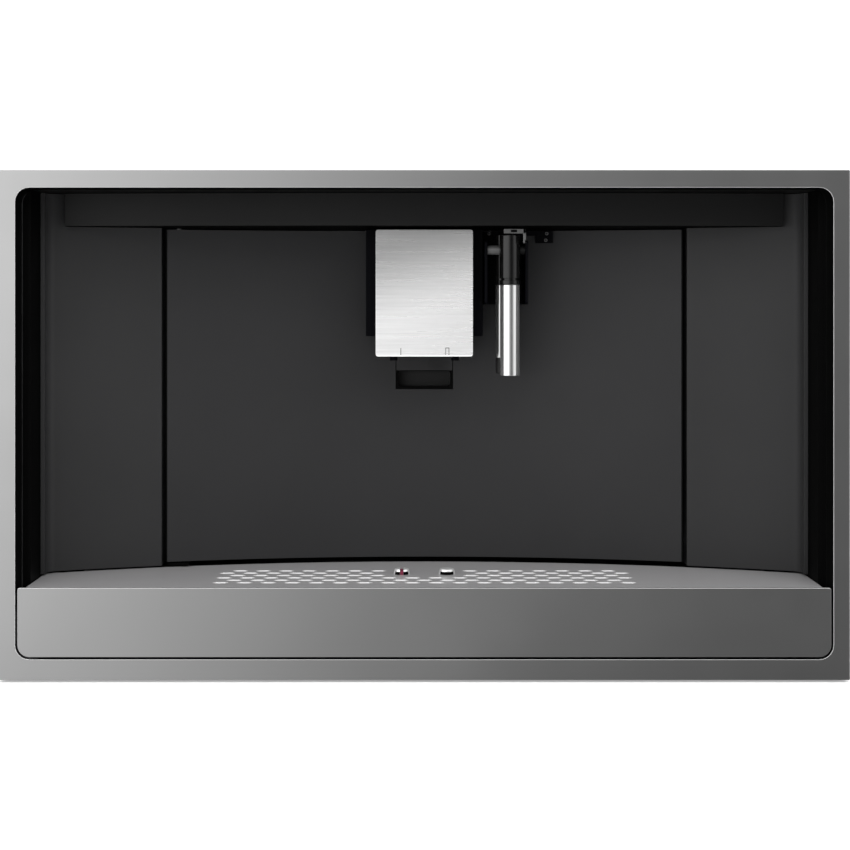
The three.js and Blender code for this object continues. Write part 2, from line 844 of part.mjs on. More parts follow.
// ---- Service door ----
function makeDoorPanel() {
  const back = wallRadius + doorThick;
  const band = (radius, thick, half, steps) => [
    ...wallArc(radius, -half, half, steps),
    ...wallArc(radius + thick, half, -half, steps),
  ];
  const skin = slab('z', band(wallRadius, doorThick, doorHalf, 16), doorBottom, doorTop);
  const ribFeet = doorRibPlaces.map((share) => doorBottom + share * (doorTop - doorBottom));
  const ribs = ribFeet.map((foot) =>
    slab('z', band(back - seat, doorRib + seat, doorRibHalf, 12), foot, foot + doorRibThick),
  );
  const ribTop = ribFeet[1] + doorRibThick;
  const posts = [-doorPostHalf, doorPostHalf].map((x) =>
    block(
      x - doorRibThick / 2,
      x + doorRibThick / 2,
      wallY(x) + doorThick / 2,
      wallY(x, back) + doorRib,
      ribFeet[0],
      ribTop,
    ),
  );
  const edge = block(
    doorHalf - doorThick,
    doorHalf,
    wallY(doorHalf) + doorThick / 2,
    wallY(doorHalf) + doorThick + doorRib,
    doorBottom,
    doorTop,
  );
  const knuckles = [doorBottom, doorTop - knuckleHeight].map((z) =>
    join(
      rod('z', pivotX, pivotY, knuckleRadius, z, z + knuckleHeight, 16),
      block(
        pivotX - knuckleRadius / 2,
        pivotX + knuckleRadius / 2,
        wallY(pivotX) + doorThick / 2,
        pivotY,
        z,
        z + knuckleHeight,
      ),
    ),
  );
  const bores = rod('z', pivotX, pivotY, hingePin + pinGap, doorBottom - over, doorTop + over, 12);
  const gripHole = block(
    -gripHalf - seat,
    gripHalf + seat,
    wallY(gripHalf) - over - over,
    wallY(0) + doorThick + over,
    gripBottom - seat,
    gripBottom + gripHeight + seat,
  );
  return cut(join(skin, ...ribs, ...posts, edge, ...knuckles), bores, gripHole);
}

function makeGrip() {
  const face = slab(
    'z',
    [
      ...wallArc(wallRadius, -gripHalf, gripHalf, 4),
      ...wallArc(wallRadius + doorThick, gripHalf, -gripHalf, 4),
    ],
    gripBottom,
    gripBottom + gripHeight,
  );
  const pocketHalf = gripHalf - gripRim;
  const pocketBottom = gripBottom + gripRim;
  const pocketTop = pocketBottom + pocketHeight;
  const box = block(
    -gripHalf,
    gripHalf,
    wallY(0) + doorThick / 2,
    wallY(0) + pocketDepth + gripRim,
    gripBottom,
    pocketTop + gripRim,
  );
  const pocket = slab(
    'y',
    roundedRect(-pocketHalf, pocketHalf, pocketBottom, pocketTop, pocketCorner, 2),
    wallY(gripHalf) - over,
    wallY(0) + pocketDepth,
  );
  return cut(join(face, box), pocket);
}

function makeDoor(group) {
  part(group, 'service_door', satinBlack, makeDoorPanel());
  part(group, 'grip_insert', mouldedBlack, makeGrip());
}

// Pins on the machine that the door turns on.
function makeDoorHinge(group) {
  const plate = hoodBottom + hoodWall;
  const upper = turned(pivotX, pivotY, [
    [0, doorTop - knuckleHeight + 2 * seat],
    [hingePin, doorTop - knuckleHeight + 2 * seat],
    [hingePin, plate + seat],
    [pinHead, plate + seat],
    [pinHead, plate + seat + bracketThick],
    [0, plate + seat + bracketThick],
  ], 12);
  part(group, 'hinge_pin_upper', motorSteel, upper);
  const tongueTop = doorBottom - 4 * seat;
  const tongue = block(
    pivotX - 2 * knuckleRadius,
    pivotX + 2 * knuckleRadius,
    pivotY - knuckleRadius,
    linerBackY,
    tongueTop - bracketThick,
    tongueTop,
  );
  const foot = block(
    pivotX - 2 * knuckleRadius,
    pivotX + 2 * knuckleRadius,
    linerBackY - bracketThick,
    linerBackY,
    tongueTop - bracketThick,
    tongueTop + 3 * knuckleRadius,
  );
  const pin = rod('z', pivotX, pivotY, hingePin, tongueTop - seat, doorBottom + knuckleHeight - seat, 12);
  part(group, 'hinge_bracket_lower', zincSheet, join(tongue, foot, pin));
}

// ---- Spout ----
function makeSpoutGuide() {
  const front = at(guideDepth);
  const outline = [
    point(-guideHalf, front),
    point(guideHalf, front),
    ...wallArc(wallRadius - seat, guideHalf, -guideHalf, 6),
  ];
  const neckHalf = tongueHalf + runGap;
  const headHalf = tongueHeadHalf + runGap;
  const slotTop = borneTop - guideCap;
  const headFront = front + tongueNeck - runGap;
  return cut(
    slab('z', outline, guideBottom, borneTop),
    block(-neckHalf, neckHalf, front - over, headFront + over, guideBottom - over, slotTop),
    block(-headHalf, headHalf, headFront, headFront + tongueHead + 2 * runGap, guideBottom - over, slotTop),
  );
}

function makeCarriage() {
  const back = at(guideDepth) - seat;
  const top = borneTop - runGap;
  const bodyOutline = roundedRect(-carriageHalf, carriageHalf, at(carriageDepth), back, carriageCorner, 2);
  const tongueTop = borneTop - guideCap - seat;
  const neckBack = at(guideDepth) + tongueNeck;
  const hollowHalf = outletHalfSpacing + outletRadius + 3 * runGap;
  const hollow = block(
    -hollowHalf,
    hollowHalf,
    at(carriageDepth) + 2 * spoutPlateThick,
    back - 2 * spoutPlateThick,
    spoutBottom - over,
    spoutBottom + spoutHollow,
  );
  return cut(
    join(
      slab('z', bodyOutline, spoutBottom, top),
      block(-tongueHalf, tongueHalf, back - over, neckBack + over, spoutBottom, tongueTop),
      block(-tongueHeadHalf, tongueHeadHalf, neckBack, neckBack + tongueHead, spoutBottom, tongueTop),
    ),
    hollow,
  );
}

function makeOutlets() {
  const middle = (at(carriageDepth) + at(guideDepth) - seat) / 2;
  const top = spoutBottom + spoutHollow - seat;
  const half = outletHalfSpacing + outletRadius;
  const barHalf = outletRadius + outletBarEdge;
  const bar = slab(
    'z',
    roundedRect(-half, half, middle - barHalf, middle + barHalf, outletBarCorner),
    top - outletBar,
    top,
  );
  const places = [-outletHalfSpacing, outletHalfSpacing];
  const foot = spoutBottom - outletDrop;
  const tubes = places.map((x) => rod('z', x, middle, outletRadius, foot, top - over));
  const bores = places.map((x) => rod('z', x, middle, outletBore, foot - over, top - outletSkin, 10));
  return cut(join(bar, ...tubes), ...bores);
}

function makeSpout(doorGroup, group) {
  part(doorGroup, 'spout_guide', mouldedBlack, makeSpoutGuide());
  part(group, 'spout_carriage', mouldedBlack, makeCarriage());
  const plate = roundedRect(
    -spoutPlateHalf,
    spoutPlateHalf,
    spoutBottom,
    borneTop - runGap,
    spoutPlateCorner,
    2,
  );
  const plateBack = at(carriageDepth) - seat;
  part(group, 'spout_plate', brushedSteel, slab('y', plate, plateBack - spoutPlateThick, plateBack));
  part(group, 'twin_outlet', greyPlastic, makeOutlets());
}

// ---- Nozzle ----
const cheekLeft = nozzleX - cheekLeftReach;
const cheekRight = nozzleX + cheekRightReach;

function makeNozzleCarrier() {
  const front = wallRadius - seat - carrierBack;
  const band = (x0, x1) => [
    ...wallArc(front, x0, x1, 3),
    ...wallArc(wallRadius - seat, x1, x0, 3),
  ];
  const tabRight = nozzleX + carrierTabReach;
  const bottom = tiltHeight - cheekDrop;
  const plates = [
    slab('z', band(cheekLeft, cheekRight), bottom, borneTop),
    slab('z', band(cheekLeft, tabRight), borneTop - carrierBarHeight, borneTop),
    slab('z', band(tabRight - carrierTabWidth, tabRight), borneTop - carrierTabHeight, borneTop),
  ];
  const cheeks = [cheekLeft, cheekRight - cheekThick].map((x) => {
    const back = wallY(x + cheekThick) - seat - carrierBack / 2;
    const top = tiltHeight + cheekRise;
    const outline = roundedRect(nozzleY - cheekAhead, back, bottom, top, cheekCorner, 2);
    return slab('x', outline, x, x + cheekThick);
  });
  const boreRadius = trunnionPin + pinGap;
  const bore = rod('x', tiltY, tiltHeight, boreRadius, cheekLeft - over, cheekRight + over, 12);
  return cut(join(...plates, ...cheeks), bore);
}

function makeNozzleBody() {
  const ringTop = nozzleNeckTop - nozzleNeck;
  const ringBottom = ringTop - nozzleRing;
  const spigot = sleeveRadius - sleeveWall - seat;
  const main = turned(nozzleX, nozzleY, [
    [0, ringBottom - sleeveLength + 4 * seat],
    [spigot, ringBottom - sleeveLength + 4 * seat],
    [spigot, ringBottom],
    [nozzleRadius, ringBottom],
    [nozzleRadius, ringTop],
    [nozzleRadius - nozzleNeck, ringTop],
    [nozzleRadius - nozzleNeck, nozzleNeckTop],
    [nozzleRadius, nozzleNeckTop],
    [nozzleRadius, nozzleTop - nozzleNeck],
    [nozzleRadius - nozzleNeck, nozzleTop],
    [0, nozzleTop],
  ]);
  const steam = rod('z', steamX, steamY, steamRadius, ringBottom, nozzleTop);
  const left = cheekLeft + cheekThick + seat;
  const right = cheekRight - cheekThick - seat;
  const trunnion = rod('x', tiltY, tiltHeight, trunnionRadius, left, right);
  const pin = rod('x', tiltY, tiltHeight, trunnionPin, cheekLeft + seat, cheekRight - seat, 12);
  return join(main, steam, trunnion, pin);
}

function makeSleeve() {
  const top = nozzleNeckTop - nozzleNeck - nozzleRing - seat;
  const bottom = top - sleeveLength;
  const tubes = join(
    rod('z', nozzleX, nozzleY, sleeveRadius, bottom, top),
    rod('z', steamX, steamY, steamRadius, bottom + sleeveWall, top),
  );
  return cut(tubes, rod('z', nozzleX, nozzleY, sleeveRadius - sleeveWall, bottom - over, top + over));
}

function makeNozzle(doorGroup, group) {
  part(doorGroup, 'nozzle_carrier', mouldedBlack, makeNozzleCarrier());
  part(group, 'nozzle_body', glossBlack, makeNozzleBody());
  part(group, 'nozzle_sleeve', chrome, makeSleeve());
}

// ---- Drip tray ----
function trayFrontOutline() {
  const quarter = Math.PI / 2;
  const low = cornerRadius - trayGap;
  const high = trayTopCorner;
  const right = [
    ...arc(trayHalf - low, trayBottom + low, low, -quarter, 0, 6),
    ...arc(trayHalf - high, plateTop - high, high, 0, quarter, 3),
  ];
  return [...right, ...mirrored(right).reverse()];
}

function makeTrayFront() {
  const half = plateHalf - trayBoxInset;
  const w = trayBoxWall;
  const box = rect(-half, half, basinBottom, underPlate);
  const hollow = rect(-half + w, half - w, basinBottom + w, underPlate - w);
  return join(
    slab('y', trayFrontOutline(), frontY, frontY + trayPanel),
    slab('y', box, frontY + trayPanel / 2, trayBoxBack, [hollow]),
  );
}

// Long six-sided slots in staggered rows, left out round the two studs.
function plateSlots() {
  const slots = [];
  for (let row = 0; row < slotRows; row += 1) {
    const v = at(slotFrontDepth + row * slotRowPitch);
    const reach = slotsEachSide - (row % 2) / 2;
    for (let u = -reach * slotPitch; u <= reach * slotPitch; u += slotPitch) {
      if (row >= slotFullRows && Math.abs(u) - slotLength / 2 < studClear) continue;
      const end = slotLength / 2;
      const edge = slotWidth / 2;
      slots.push(roundedRect(u - end, u + end, v - edge, v + edge, edge, 1));
    }
  }
  return slots;
}

const studTop = plateTop + studRise;

// The float's flag seen from above, or its slot when grown by a gap.
function flagOutline(gap) {
  const half = flagThick / 2 + gap;
  const reach = studRadius - seat + gap;
  const middle = at(studDepth);
  return rect(-studHalfSpacing - half, -studHalfSpacing + half, middle - reach, middle + reach);
}

function makeCupPlate() {
  const front = frontY + trayPanel + seat;
  const back = wallRadius + doorThick;
  const cornerX = plateHalf - plateCorner;
  const cornerY = wallY(plateHalf - plateCorner, back) - plateCorner;
  const right = [
    point(plateHalf, front),
    ...arc(cornerX, cornerY, plateCorner, 0, Math.PI / 2, 4),
  ];
  const rear = wallArc(back, cornerX, -cornerX, 16);
  const outline = [...right, ...rear, ...mirrored(right).reverse()];
  const plate = slab('z', outline, plateBottom, plateTop, plateSlots());
  const studs = [-studHalfSpacing, studHalfSpacing].map((x) =>
    turned(x, at(studDepth), [
      [0, plateBottom],
      [studRadius, plateBottom],
      [studRadius, studTop - studEdge],
      [studRadius - studEdge, studTop],
      [0, studTop],
    ]),
  );
  const flagSlot = slab('z', flagOutline(seat), plateBottom - over, studTop + over);
  return cut(join(plate, ...studs), flagSlot);
}

function makeFloat() {
  const bottom = basinBottom + basinWall + seat;
  const stemTop = plateBottom - floatTravel - seat;
  const body = turned(-studHalfSpacing, at(studDepth), [
    [0, bottom],
    [floatRadius, bottom],
    [floatRadius, bottom + floatHeight],
    [floatStem, bottom + floatHeight + floatRadius - floatStem],
    [floatStem, stemTop],
    [0, stemTop],
  ]);
  return join(body, slab('z', flagOutline(0), stemTop - over, studTop - seat));
}

function makeTray(group, floatGroup) {
  part(group, 'tray_front', satinMetal, makeTrayFront());
  part(group, 'cup_plate', satinMetal, makeCupPlate());
  const basin = tub(
    -basinHalf,
    basinHalf,
    basinFrontY,
    basinBackY,
    basinBottom,
    underPlate,
    basinCorner,
    basinWall,
  );
  part(group, 'drip_basin', mouldedBlack, basin);
  part(floatGroup, 'level_float', redPlastic, makeFloat());
}

// ---- Lids: a plate with two hinge barrels that turn on an ear of the vessel below ----
const lidBottom = bodyTop + seat;
const barrelZ = lidBottom + barrelRadius;

function makeLid(x0, x1, y0, barrelY) {
  const middle = (x0 + x1) / 2;
  const plate = slab(
    'z',
    roundedRect(x0 - lidOverlap, x1 + lidOverlap, y0 - lidOverlap, barrelY, lidCorner),
    lidBottom,
    lidBottom + lidThick,
  );
  const barrel = rod('x', barrelY, barrelZ, barrelRadius, x0 + barrelEnd, x1 - barrelEnd, 16);
  const bore = rod('x', barrelY, barrelZ, barrelBore, x0 - over, x1 + over, 12);
  const notch = block(
    middle - earHalf - earGap,
    middle + earHalf + earGap,
    barrelY - barrelRadius - earGap,
    barrelY + barrelRadius + over,
    lidBottom - over,
    barrelZ + barrelRadius + over,
  );
  return cut(join(plate, barrel), bore, notch);
}

function makeEar(x0, x1, barrelY, wall, bottom) {
  const middle = (x0 + x1) / 2;
  return join(
    block(
      middle - earHalf,
      middle + earHalf,
      barrelY - wall / 2,
      barrelY + wall / 2,
      bottom,
      barrelZ + barrelPin,
    ),
    rod('x', barrelY, barrelZ, barrelPin, middle - 3 * earHalf, middle + 3 * earHalf, 12),
  );
}

// ---- Water system ----
const tankBarrelY = tankRear - tankWall / 2;
const nippleX = tankRight - tankWidth / 2;
const nippleY = tankRear - (tankRear - tankFront) / 3;

function makeTank() {
  const shell = tub(
    tankLeft,
    tankRight,
    tankFront,
    tankRear,
    tankBottom,
    vesselTop,
    tankCorner,
    tankWall,
  );
  const footBottom = tankBottom - tankNippleLength;
  const foot = rod('z', nippleX, nippleY, tankNipple, footBottom, tankBottom + over);
  const bore = rod('z', nippleX, nippleY, tankNipple / 2, footBottom - over, tankBottom + 2 * tankWall, 12);
  const ear = makeEar(tankLeft, tankRight, tankBarrelY, tankWall, vesselTop - 3 * barrelRadius);
  return cut(join(shell, foot, ear), bore);
}

function makeTankSeat() {
  const top = tankBottom - seat;
  const platformBottom = top - tankSeatPlatform;
  const platform = slab(
    'z',
    roundedRect(tankLeft + tankWall, tankRight, tankFront + tankWall, tankRear, tankCorner),
    platformBottom,
    top,
  );
  const front = basinBackY + basinClear;
  const right = tankRight - tankWall;
  const wall = tankWall;
  const left = -panHalf + tankSeatClear;
  const room = [left + wall, right - wall, front + wall, tankRear - wall];
  const plinth = cut(
    block(left, right, front, tankRear, onPan, platformBottom + over),
    block(...room, onPan - over, platformBottom - wall),
  );
  const outlet = rod('y', nippleX, pumpZ, nippleRadius, tankRear - over, tankRear + 3 * hoseRadius, 12);
  const socketBottom = top - tankNippleLength - runGap;
  const socket = rod('z', nippleX, nippleY, tankNipple + runGap, socketBottom, top + over);
  return cut(join(platform, plinth, outlet), socket);
}

function makePump() {
  const left = pumpX;
  const right = pumpX + pumpLength;
  const flangeRadius = pumpRadius + pumpFlange;
  const flanges = [left + pumpFlangeInset, right - pumpFlangeInset - pumpFlange].map((x) =>
    join(
      rod('x', pumpY, pumpZ, flangeRadius, x, x + pumpFlange),
      block(x, x + pumpFlange, pumpY - pumpRadius, pumpY + pumpRadius, onPan, pumpZ),
    ),
  );
  const barrel = rod('x', pumpY, pumpZ, pumpRadius, left + pumpEnd, right - pumpEnd);
  const nipples = rod('x', pumpY, pumpZ, nippleRadius, left, right, 12);
  return join(barrel, nipples, ...flanges);
}

// Cast heater block with cooling ribs on its back, its two nipples facing back and up.
const heaterRear = heaterFront + heaterThick;
const heaterInX = heaterLeft + heaterWidth - heaterInlet;
const heaterInZ = onBayShelf + heaterHeight / 3;
const heaterOutX = heaterLeft + heaterWidth / 2;
const heaterOutY = heaterFront + heaterThick / 3;

function makeHeater() {
  const ribPitch = heaterHeight / heaterRibs;
  const back = heaterRear - heaterRibDepth;
  const comb = Array.from({ length: heaterRibs }, (_, i) => {
    const low = onBayShelf + i * ribPitch;
    return [
      point(heaterRear, low),
      point(heaterRear, low + ribPitch / 2),
      point(back, low + ribPitch / 2),
      point(back, low + ribPitch),
    ];
  }).flat();
  const top = onBayShelf + heaterHeight;
  const outline = [point(heaterFront, onBayShelf), ...comb, point(heaterFront, top)];
  const casting = slab('x', outline, heaterLeft, heaterLeft + heaterWidth);
  return join(
    casting,
    rod('y', heaterInX, heaterInZ, nippleRadius, back - over, heaterRear + nippleRadius, 12),
    rod('z', heaterOutX, heaterOutY, nippleRadius, top - over, top + 2 * nippleRadius, 12),
  );
}

function makeHoses(group) {
  const feedEnd = pumpX - seat;
  const feedStart = tankRear + 3 * hoseRadius + seat;
  const feed = [
    [nippleX, feedStart, pumpZ],
    [nippleX, feedStart + 10, pumpZ],
    [nippleX + 18, pumpY - 2, pumpZ],
    [feedEnd - 12, pumpY, pumpZ],
    [feedEnd, pumpY, pumpZ],
  ];
  part(group, 'feed_hose', hoseRubber, hose(feed, hoseRadius));
  const pressStart = pumpX + pumpLength + seat;
  const pressEndY = heaterRear + nippleRadius + seat;
  const press = [
    [pressStart, pumpY, pumpZ],
    [pressStart + 12, pumpY, pumpZ],
    [heaterInX, pumpY - 4, (pumpZ + heaterInZ) / 2],
    [heaterInX, pumpY - 14, heaterInZ],
    [heaterInX, pressEndY + 12, heaterInZ],
    [heaterInX, pressEndY, heaterInZ],
  ];
  part(group, 'pressure_hose', hoseRubber, hose(press, hoseRadius));
  const outZ = onBayShelf + heaterHeight + 2 * nippleRadius + seat;
  const brewZ = pistonNippleTop + seat;
  const brew = [
    [heaterOutX, heaterOutY, outZ],
    [heaterOutX, heaterOutY, outZ + 14],
    [heaterOutX + 10, heaterOutY - 4, brewZ],
    [(heaterOutX + brewX) / 2, (heaterOutY + chamberY) / 2, brewZ + 26],
    [brewX, chamberY, brewZ + 14],
    [brewX, chamberY, brewZ],
  ];
  part(group, 'brew_hose', hoseRubber, hose(brew, hoseRadius));
}

function makeWater(group, tankGroup, lidGroup) {
  part(tankGroup, 'water_tank', clearPlastic, makeTank());
  part(lidGroup, 'tank_lid', mouldedBlack, makeLid(tankLeft, tankRight, tankFront, tankBarrelY));
  part(group, 'tank_seat', greyPlastic, makeTankSeat());
  part(group, 'water_pump', motorSteel, makePump());
  part(group, 'thermoblock', castMetal, makeHeater());
  makeHoses(group);
}

// ---- Bean system ----
const hopperBarrelY = hopperRear - hopperWall / 2;
const grinderTop = grinderBottom + grinderHeight;
const burrRadius = burrChamber - seat;
const burrSplit = grinderBottom + grinderHeight / 2;
const motorTop = grinderBottom - seat - bracketThick - seat;

// A closed ring of points at one height, from a rounded rectangle down to a circle.
function hopperSection(z, inset, round) {
  const r = beanHole - neckGap - inset;
  const outline = round
    ? roundedRect(grinderX - r, grinderX + r, grinderY - r, grinderY + r, r - seat, 4)
    : roundedRect(
        hopperLeft + inset,
        hopperRight - inset,
        hopperFront + inset,
        hopperRear - inset,
        hopperCorner - inset,
        4,
      );
  return outline.map((p) => new THREE.Vector3(p.x, p.y, z));
}

function hopperLoft(inset, top, bottom) {
  const sections = [
    hopperSection(bottom, inset, true),
    hopperSection(bodyTop - funnelDrop, inset, true),
    hopperSection(bodyTop - shoulderDrop, inset, false),
    hopperSection(top, inset, false),
  ];
  return solid(new LoftGeometry(sections, { capStart: true, capEnd: true }));
}

function makeHopper() {
  const neckBottom = grinderTop - grinderWall;
  const shell = cut(
    hopperLoft(0, vesselTop, neckBottom),
    hopperLoft(hopperWall, vesselTop + over, neckBottom - over),
  );
  const collarBottom = grinderTop + seat;
  const collar = slab(
    'z',
    circle(grinderX, grinderY, beanHole + grinderWall),
    collarBottom,
    collarBottom + hopperWall,
    [circle(grinderX, grinderY, beanHole - neckGap - hopperWall / 2)],
  );
  const ear = makeEar(hopperLeft, hopperRight, hopperBarrelY, hopperWall, vesselTop - 3 * barrelRadius);
  return join(shell, collar, ear);
}

function makeGrinderHousing() {
  const shell = turned(grinderX, grinderY, [
    [2 * shaftRadius, grinderBottom],
    [grinderRadius, grinderBottom],
    [grinderRadius, grinderTop],
    [beanHole, grinderTop],
    [beanHole, grinderTop - grinderWall],
    [burrChamber, grinderTop - grinderWall],
    [burrChamber, grinderBottom + grinderWall],
    [2 * shaftRadius, grinderBottom + grinderWall],
    [2 * shaftRadius, grinderBottom],
  ], wideSteps);
  const chuteHalfInner = chuteHalf - chuteWall;
  const outlet = block(
    grinderX - grinderRadius - over,
    grinderX - burrChamber + grinderWall,
    chamberY - chuteHalfInner,
    chamberY + chuteHalfInner,
    grinderBottom + grinderWall + over,
    grinderBottom + grinderWall + chuteHeight - 2 * chuteWall,
  );
  return cut(shell, outlet);
}

function makeUpperBurr() {
  const top = grinderTop - grinderWall - seat;
  return turned(grinderX, grinderY, [
    [burrRadius, burrSplit],
    [burrRadius, top],
    [beanHole - grinderWall, top],
    [burrRadius - grinderWall, burrSplit],
    [burrRadius, burrSplit],
  ], wideSteps);
}

// Conical burr with milled flutes, its carrier disc and the shaft down into the motor.
function makeLowerBurr() {
  const top = grinderTop - grinderWall - 2 * runGap;
  const discBottom = grinderBottom + grinderWall + runGap;
  const disc = burrChamber - 2 * runGap;
  const coneFoot = burrRadius - grinderWall - 2 * runGap;
  const coneTop = beanHole - grinderWall - 2 * runGap;
  const body = turned(grinderX, grinderY, [
    [0, motorTop - 6 * shaftRadius],
    [shaftRadius, motorTop - 6 * shaftRadius],
    [shaftRadius, discBottom],
    [disc, discBottom],
    [disc, discBottom + grinderWall],
    [coneFoot, burrSplit - runGap],
    [coneTop, top],
    [0, top],
  ]);
  const half = burrFluteWidth / 2;
  const fluteOutline = rect(coneTop - grinderWall, coneFoot + over, -half, half);
  const flutes = Array.from({ length: burrFlutes }, (_, i) => {
    const flute = slab('z', fluteOutline, burrSplit, top + over);
    return flute.rotate([0, 0, (360 * i) / burrFlutes]).translate([grinderX, grinderY, 0]);
  });
  return cut(body, ...flutes);
}

function makeGrinderMotor() {
  const bottom = motorTop - motorLength;
  const bore = shaftRadius + pinGap;
  return turned(grinderX, grinderY, [
    [0, bottom],
    [motorRadius - motorEdge, bottom],
    [motorRadius, bottom + motorEdge],
    [motorRadius, motorTop],
    [bore, motorTop],
    [bore, motorTop - 7 * shaftRadius],
    [0, motorTop - 7 * shaftRadius],
  ], wideSteps);
}

const chuteEndX = brewX + chamberRadius + chuteGap;
const chuteEndZ = chamberTop + chuteClear;
const chuteTopX = grinderX - grinderRadius - 2 * seat;
const chuteSlope = (grinderBottom + chuteTopRise - chuteEndZ) / (chuteTopX - chuteEndX);
const chuteZ = (x, lift) => chuteEndZ + (x - chuteEndX) * chuteSlope + lift;

function chuteOutline(x0, x1, inset) {
  return [
    point(x0, chuteZ(x0, inset)),
    point(x1, chuteZ(x1, inset)),
    point(x1, chuteZ(x1, chuteHeight - inset)),
    point(x0, chuteZ(x0, chuteHeight - inset)),
  ];
}

function makeChute() {
  const inner = chuteHalf - chuteWall;
  const channel = chuteOutline(chuteEndX - over, chuteTopX + over, chuteWall);
  return cut(
    slab('y', chuteOutline(chuteEndX, chuteTopX, 0), chamberY - chuteHalf, chamberY + chuteHalf),
    slab('y', channel, chamberY - inner, chamberY + inner),
  );
}

function makeKnob() {
  const bottom = bodyTop + seat;
  const grip = slab('z', circle(grinderX, knobY, knobRadius), bottom, bottom + knobHeight);
  const flutes = Array.from({ length: knobFlutes }, (_, i) => {
    const angle = (2 * Math.PI * i) / knobFlutes;
    const reach = knobRadius + fluteRadius / 2;
    const u = grinderX + reach * Math.cos(angle);
    const v = knobY + reach * Math.sin(angle);
    return rod('z', u, v, fluteRadius, bottom + fluteRadius / 2, bottom + knobHeight + over, 8);
  });
  const stem = rod('z', grinderX, knobY, knobStem, bottom - knobStemLength, bottom + over, 12);
  return join(cut(grip, ...flutes), stem);
}

function makeBeans(group, lidGroup, knobGroup, burrGroup) {
  part(group, 'bean_hopper', smokedPlastic, makeHopper());
  part(lidGroup, 'hopper_lid', mouldedBlack, makeLid(hopperLeft, hopperRight, hopperFront, hopperBarrelY));
  part(group, 'grinder_housing', castMetal, makeGrinderHousing());
  part(group, 'upper_burr', burrSteel, makeUpperBurr());
  part(burrGroup, 'lower_burr', burrSteel, makeLowerBurr());
  part(group, 'grinder_motor', motorSteel, makeGrinderMotor());
  part(group, 'grounds_chute', mouldedBlack, makeChute());
  part(knobGroup, 'grind_knob', mouldedBlack, makeKnob());
}

// ---- Brew system ----
const pistonTop = brewTop - brewArmThick - seat;
const pistonNippleTop = brewTop + 3 * nippleRadius;

// Shelf and cheeks that form the bay behind the doorway, with a side bracket for the grinder.
function makeBay() {
  const s = chassisSheet;
  const front = bulkheadBackY + seat;
  const back = rearInnerY - bayToRear;
  const top = bodyTop - bayDrop;
  const half = [
    point(doorwayHalf, top),
    point(doorwayHalf, shelfTop),
  ];
  const outer = [point(doorwayHalf + s, shelfBottom), point(doorwayHalf + s, top)];
  const u = slab(
    'y',
    [...outer, ...half, ...mirrored(half).reverse(), ...mirrored(outer).reverse()],
    front,
    back,
  );
  const legs = [doorwayHalf, -doorwayHalf - s].map((x) =>
    block(x, x + s, basinBackY + basinClear, back, onPan, shelfTop),
  );
  const bracketTop = grinderBottom - seat;
  const bracket = slab(
    'z',
    rect(doorwayHalf + s / 2, grinderX + grinderRadius, grinderY - motorRadius, grinderY + motorRadius),
    bracketTop - bracketThick,
    bracketTop,
    [circle(grinderX, grinderY, 2 * shaftRadius)],
  );
  const holeLow = chuteZ(doorwayHalf, -seat);
  const holeHigh = chuteZ(doorwayHalf + s, chuteHeight + seat);
  const hole = block(
    doorwayHalf - over,
    doorwayHalf + s + over,
    chamberY - chuteHalf - seat,
    chamberY + chuteHalf + seat,
    holeLow,
    holeHigh,
  );
  return cut(join(u, ...legs, bracket), hole);
}

function makeBrewFrame() {
  const wall = brewBack - brewBaseThick;
  const outline = [
    point(brewBack, onBayShelf),
    point(brewBack, brewTop),
    point(brewFront, brewTop),
    point(brewFront, brewTop - brewArmThick),
    point(wall, brewTop - brewArmThick),
    point(wall, brewBase + brewBaseThick),
    point(brewFront, brewBase + brewBaseThick),
    point(brewFront, brewBase),
    point(wall, brewBase),
    point(wall, onBayShelf),
  ];
  const body = slab('x', outline, brewX - brewHalf, brewX + brewHalf);
  const screwHole = screwRadius - pinGap;
  const windows = [-1, 1].map((side) => {
    const ends = [side * brewSpine, side * (brewHalf - brewBaseThick)].map((x) => brewX + x);
    const outline = roundedRect(
      Math.min(...ends),
      Math.max(...ends),
      brewBase + 4 * brewBaseThick,
      brewTop - 4 * brewBaseThick,
      brewBaseThick,
      3,
    );
    return slab('y', outline, wall - over, brewBack + over);
  });
  return cut(
    body,
    rod('z', brewX, screwY, screwHole, brewBase - over, brewBase + brewBaseThick + over),
    rod('z', brewX, screwY, screwHole, brewTop - brewArmThick - over, brewTop + over),
    rod('z', brewX, chamberY, nippleRadius + pinGap, brewTop - brewArmThick - over, brewTop + over),
    ...windows,
  );
}

function makeScrew() {
  const journal = screwRadius - 2 * pinGap;
  const collarBottom = brewBase + brewBaseThick + seat;
  const shoulder = brewTop - brewArmThick - seat;
  return turned(brewX, screwY, [
    [0, brewBase - 4 * screwRadius],
    [journal, brewBase - 4 * screwRadius],
    [journal, collarBottom],
    [screwCollar, collarBottom],
    [screwCollar, collarBottom + screwRadius],
    [screwRadius, collarBottom + screwRadius],
    [screwRadius, shoulder],
    [journal, shoulder],
    [journal, brewTop],
    [0, brewTop],
  ], 12);
}

function makeBrewMotor() {
  const bore = screwRadius - pinGap;
  const top = brewBase - seat;
  return turned(brewX, screwY, [
    [0, top - brewMotorHeight],
    [brewMotorRadius, top - brewMotorHeight],
    [brewMotorRadius, top - screwRadius],
    [2 * screwRadius, top - screwRadius],
    [2 * screwRadius, top],
    [bore, top],
    [bore, brewBase - 5 * screwRadius],
    [0, brewBase - 5 * screwRadius],
  ]);
}

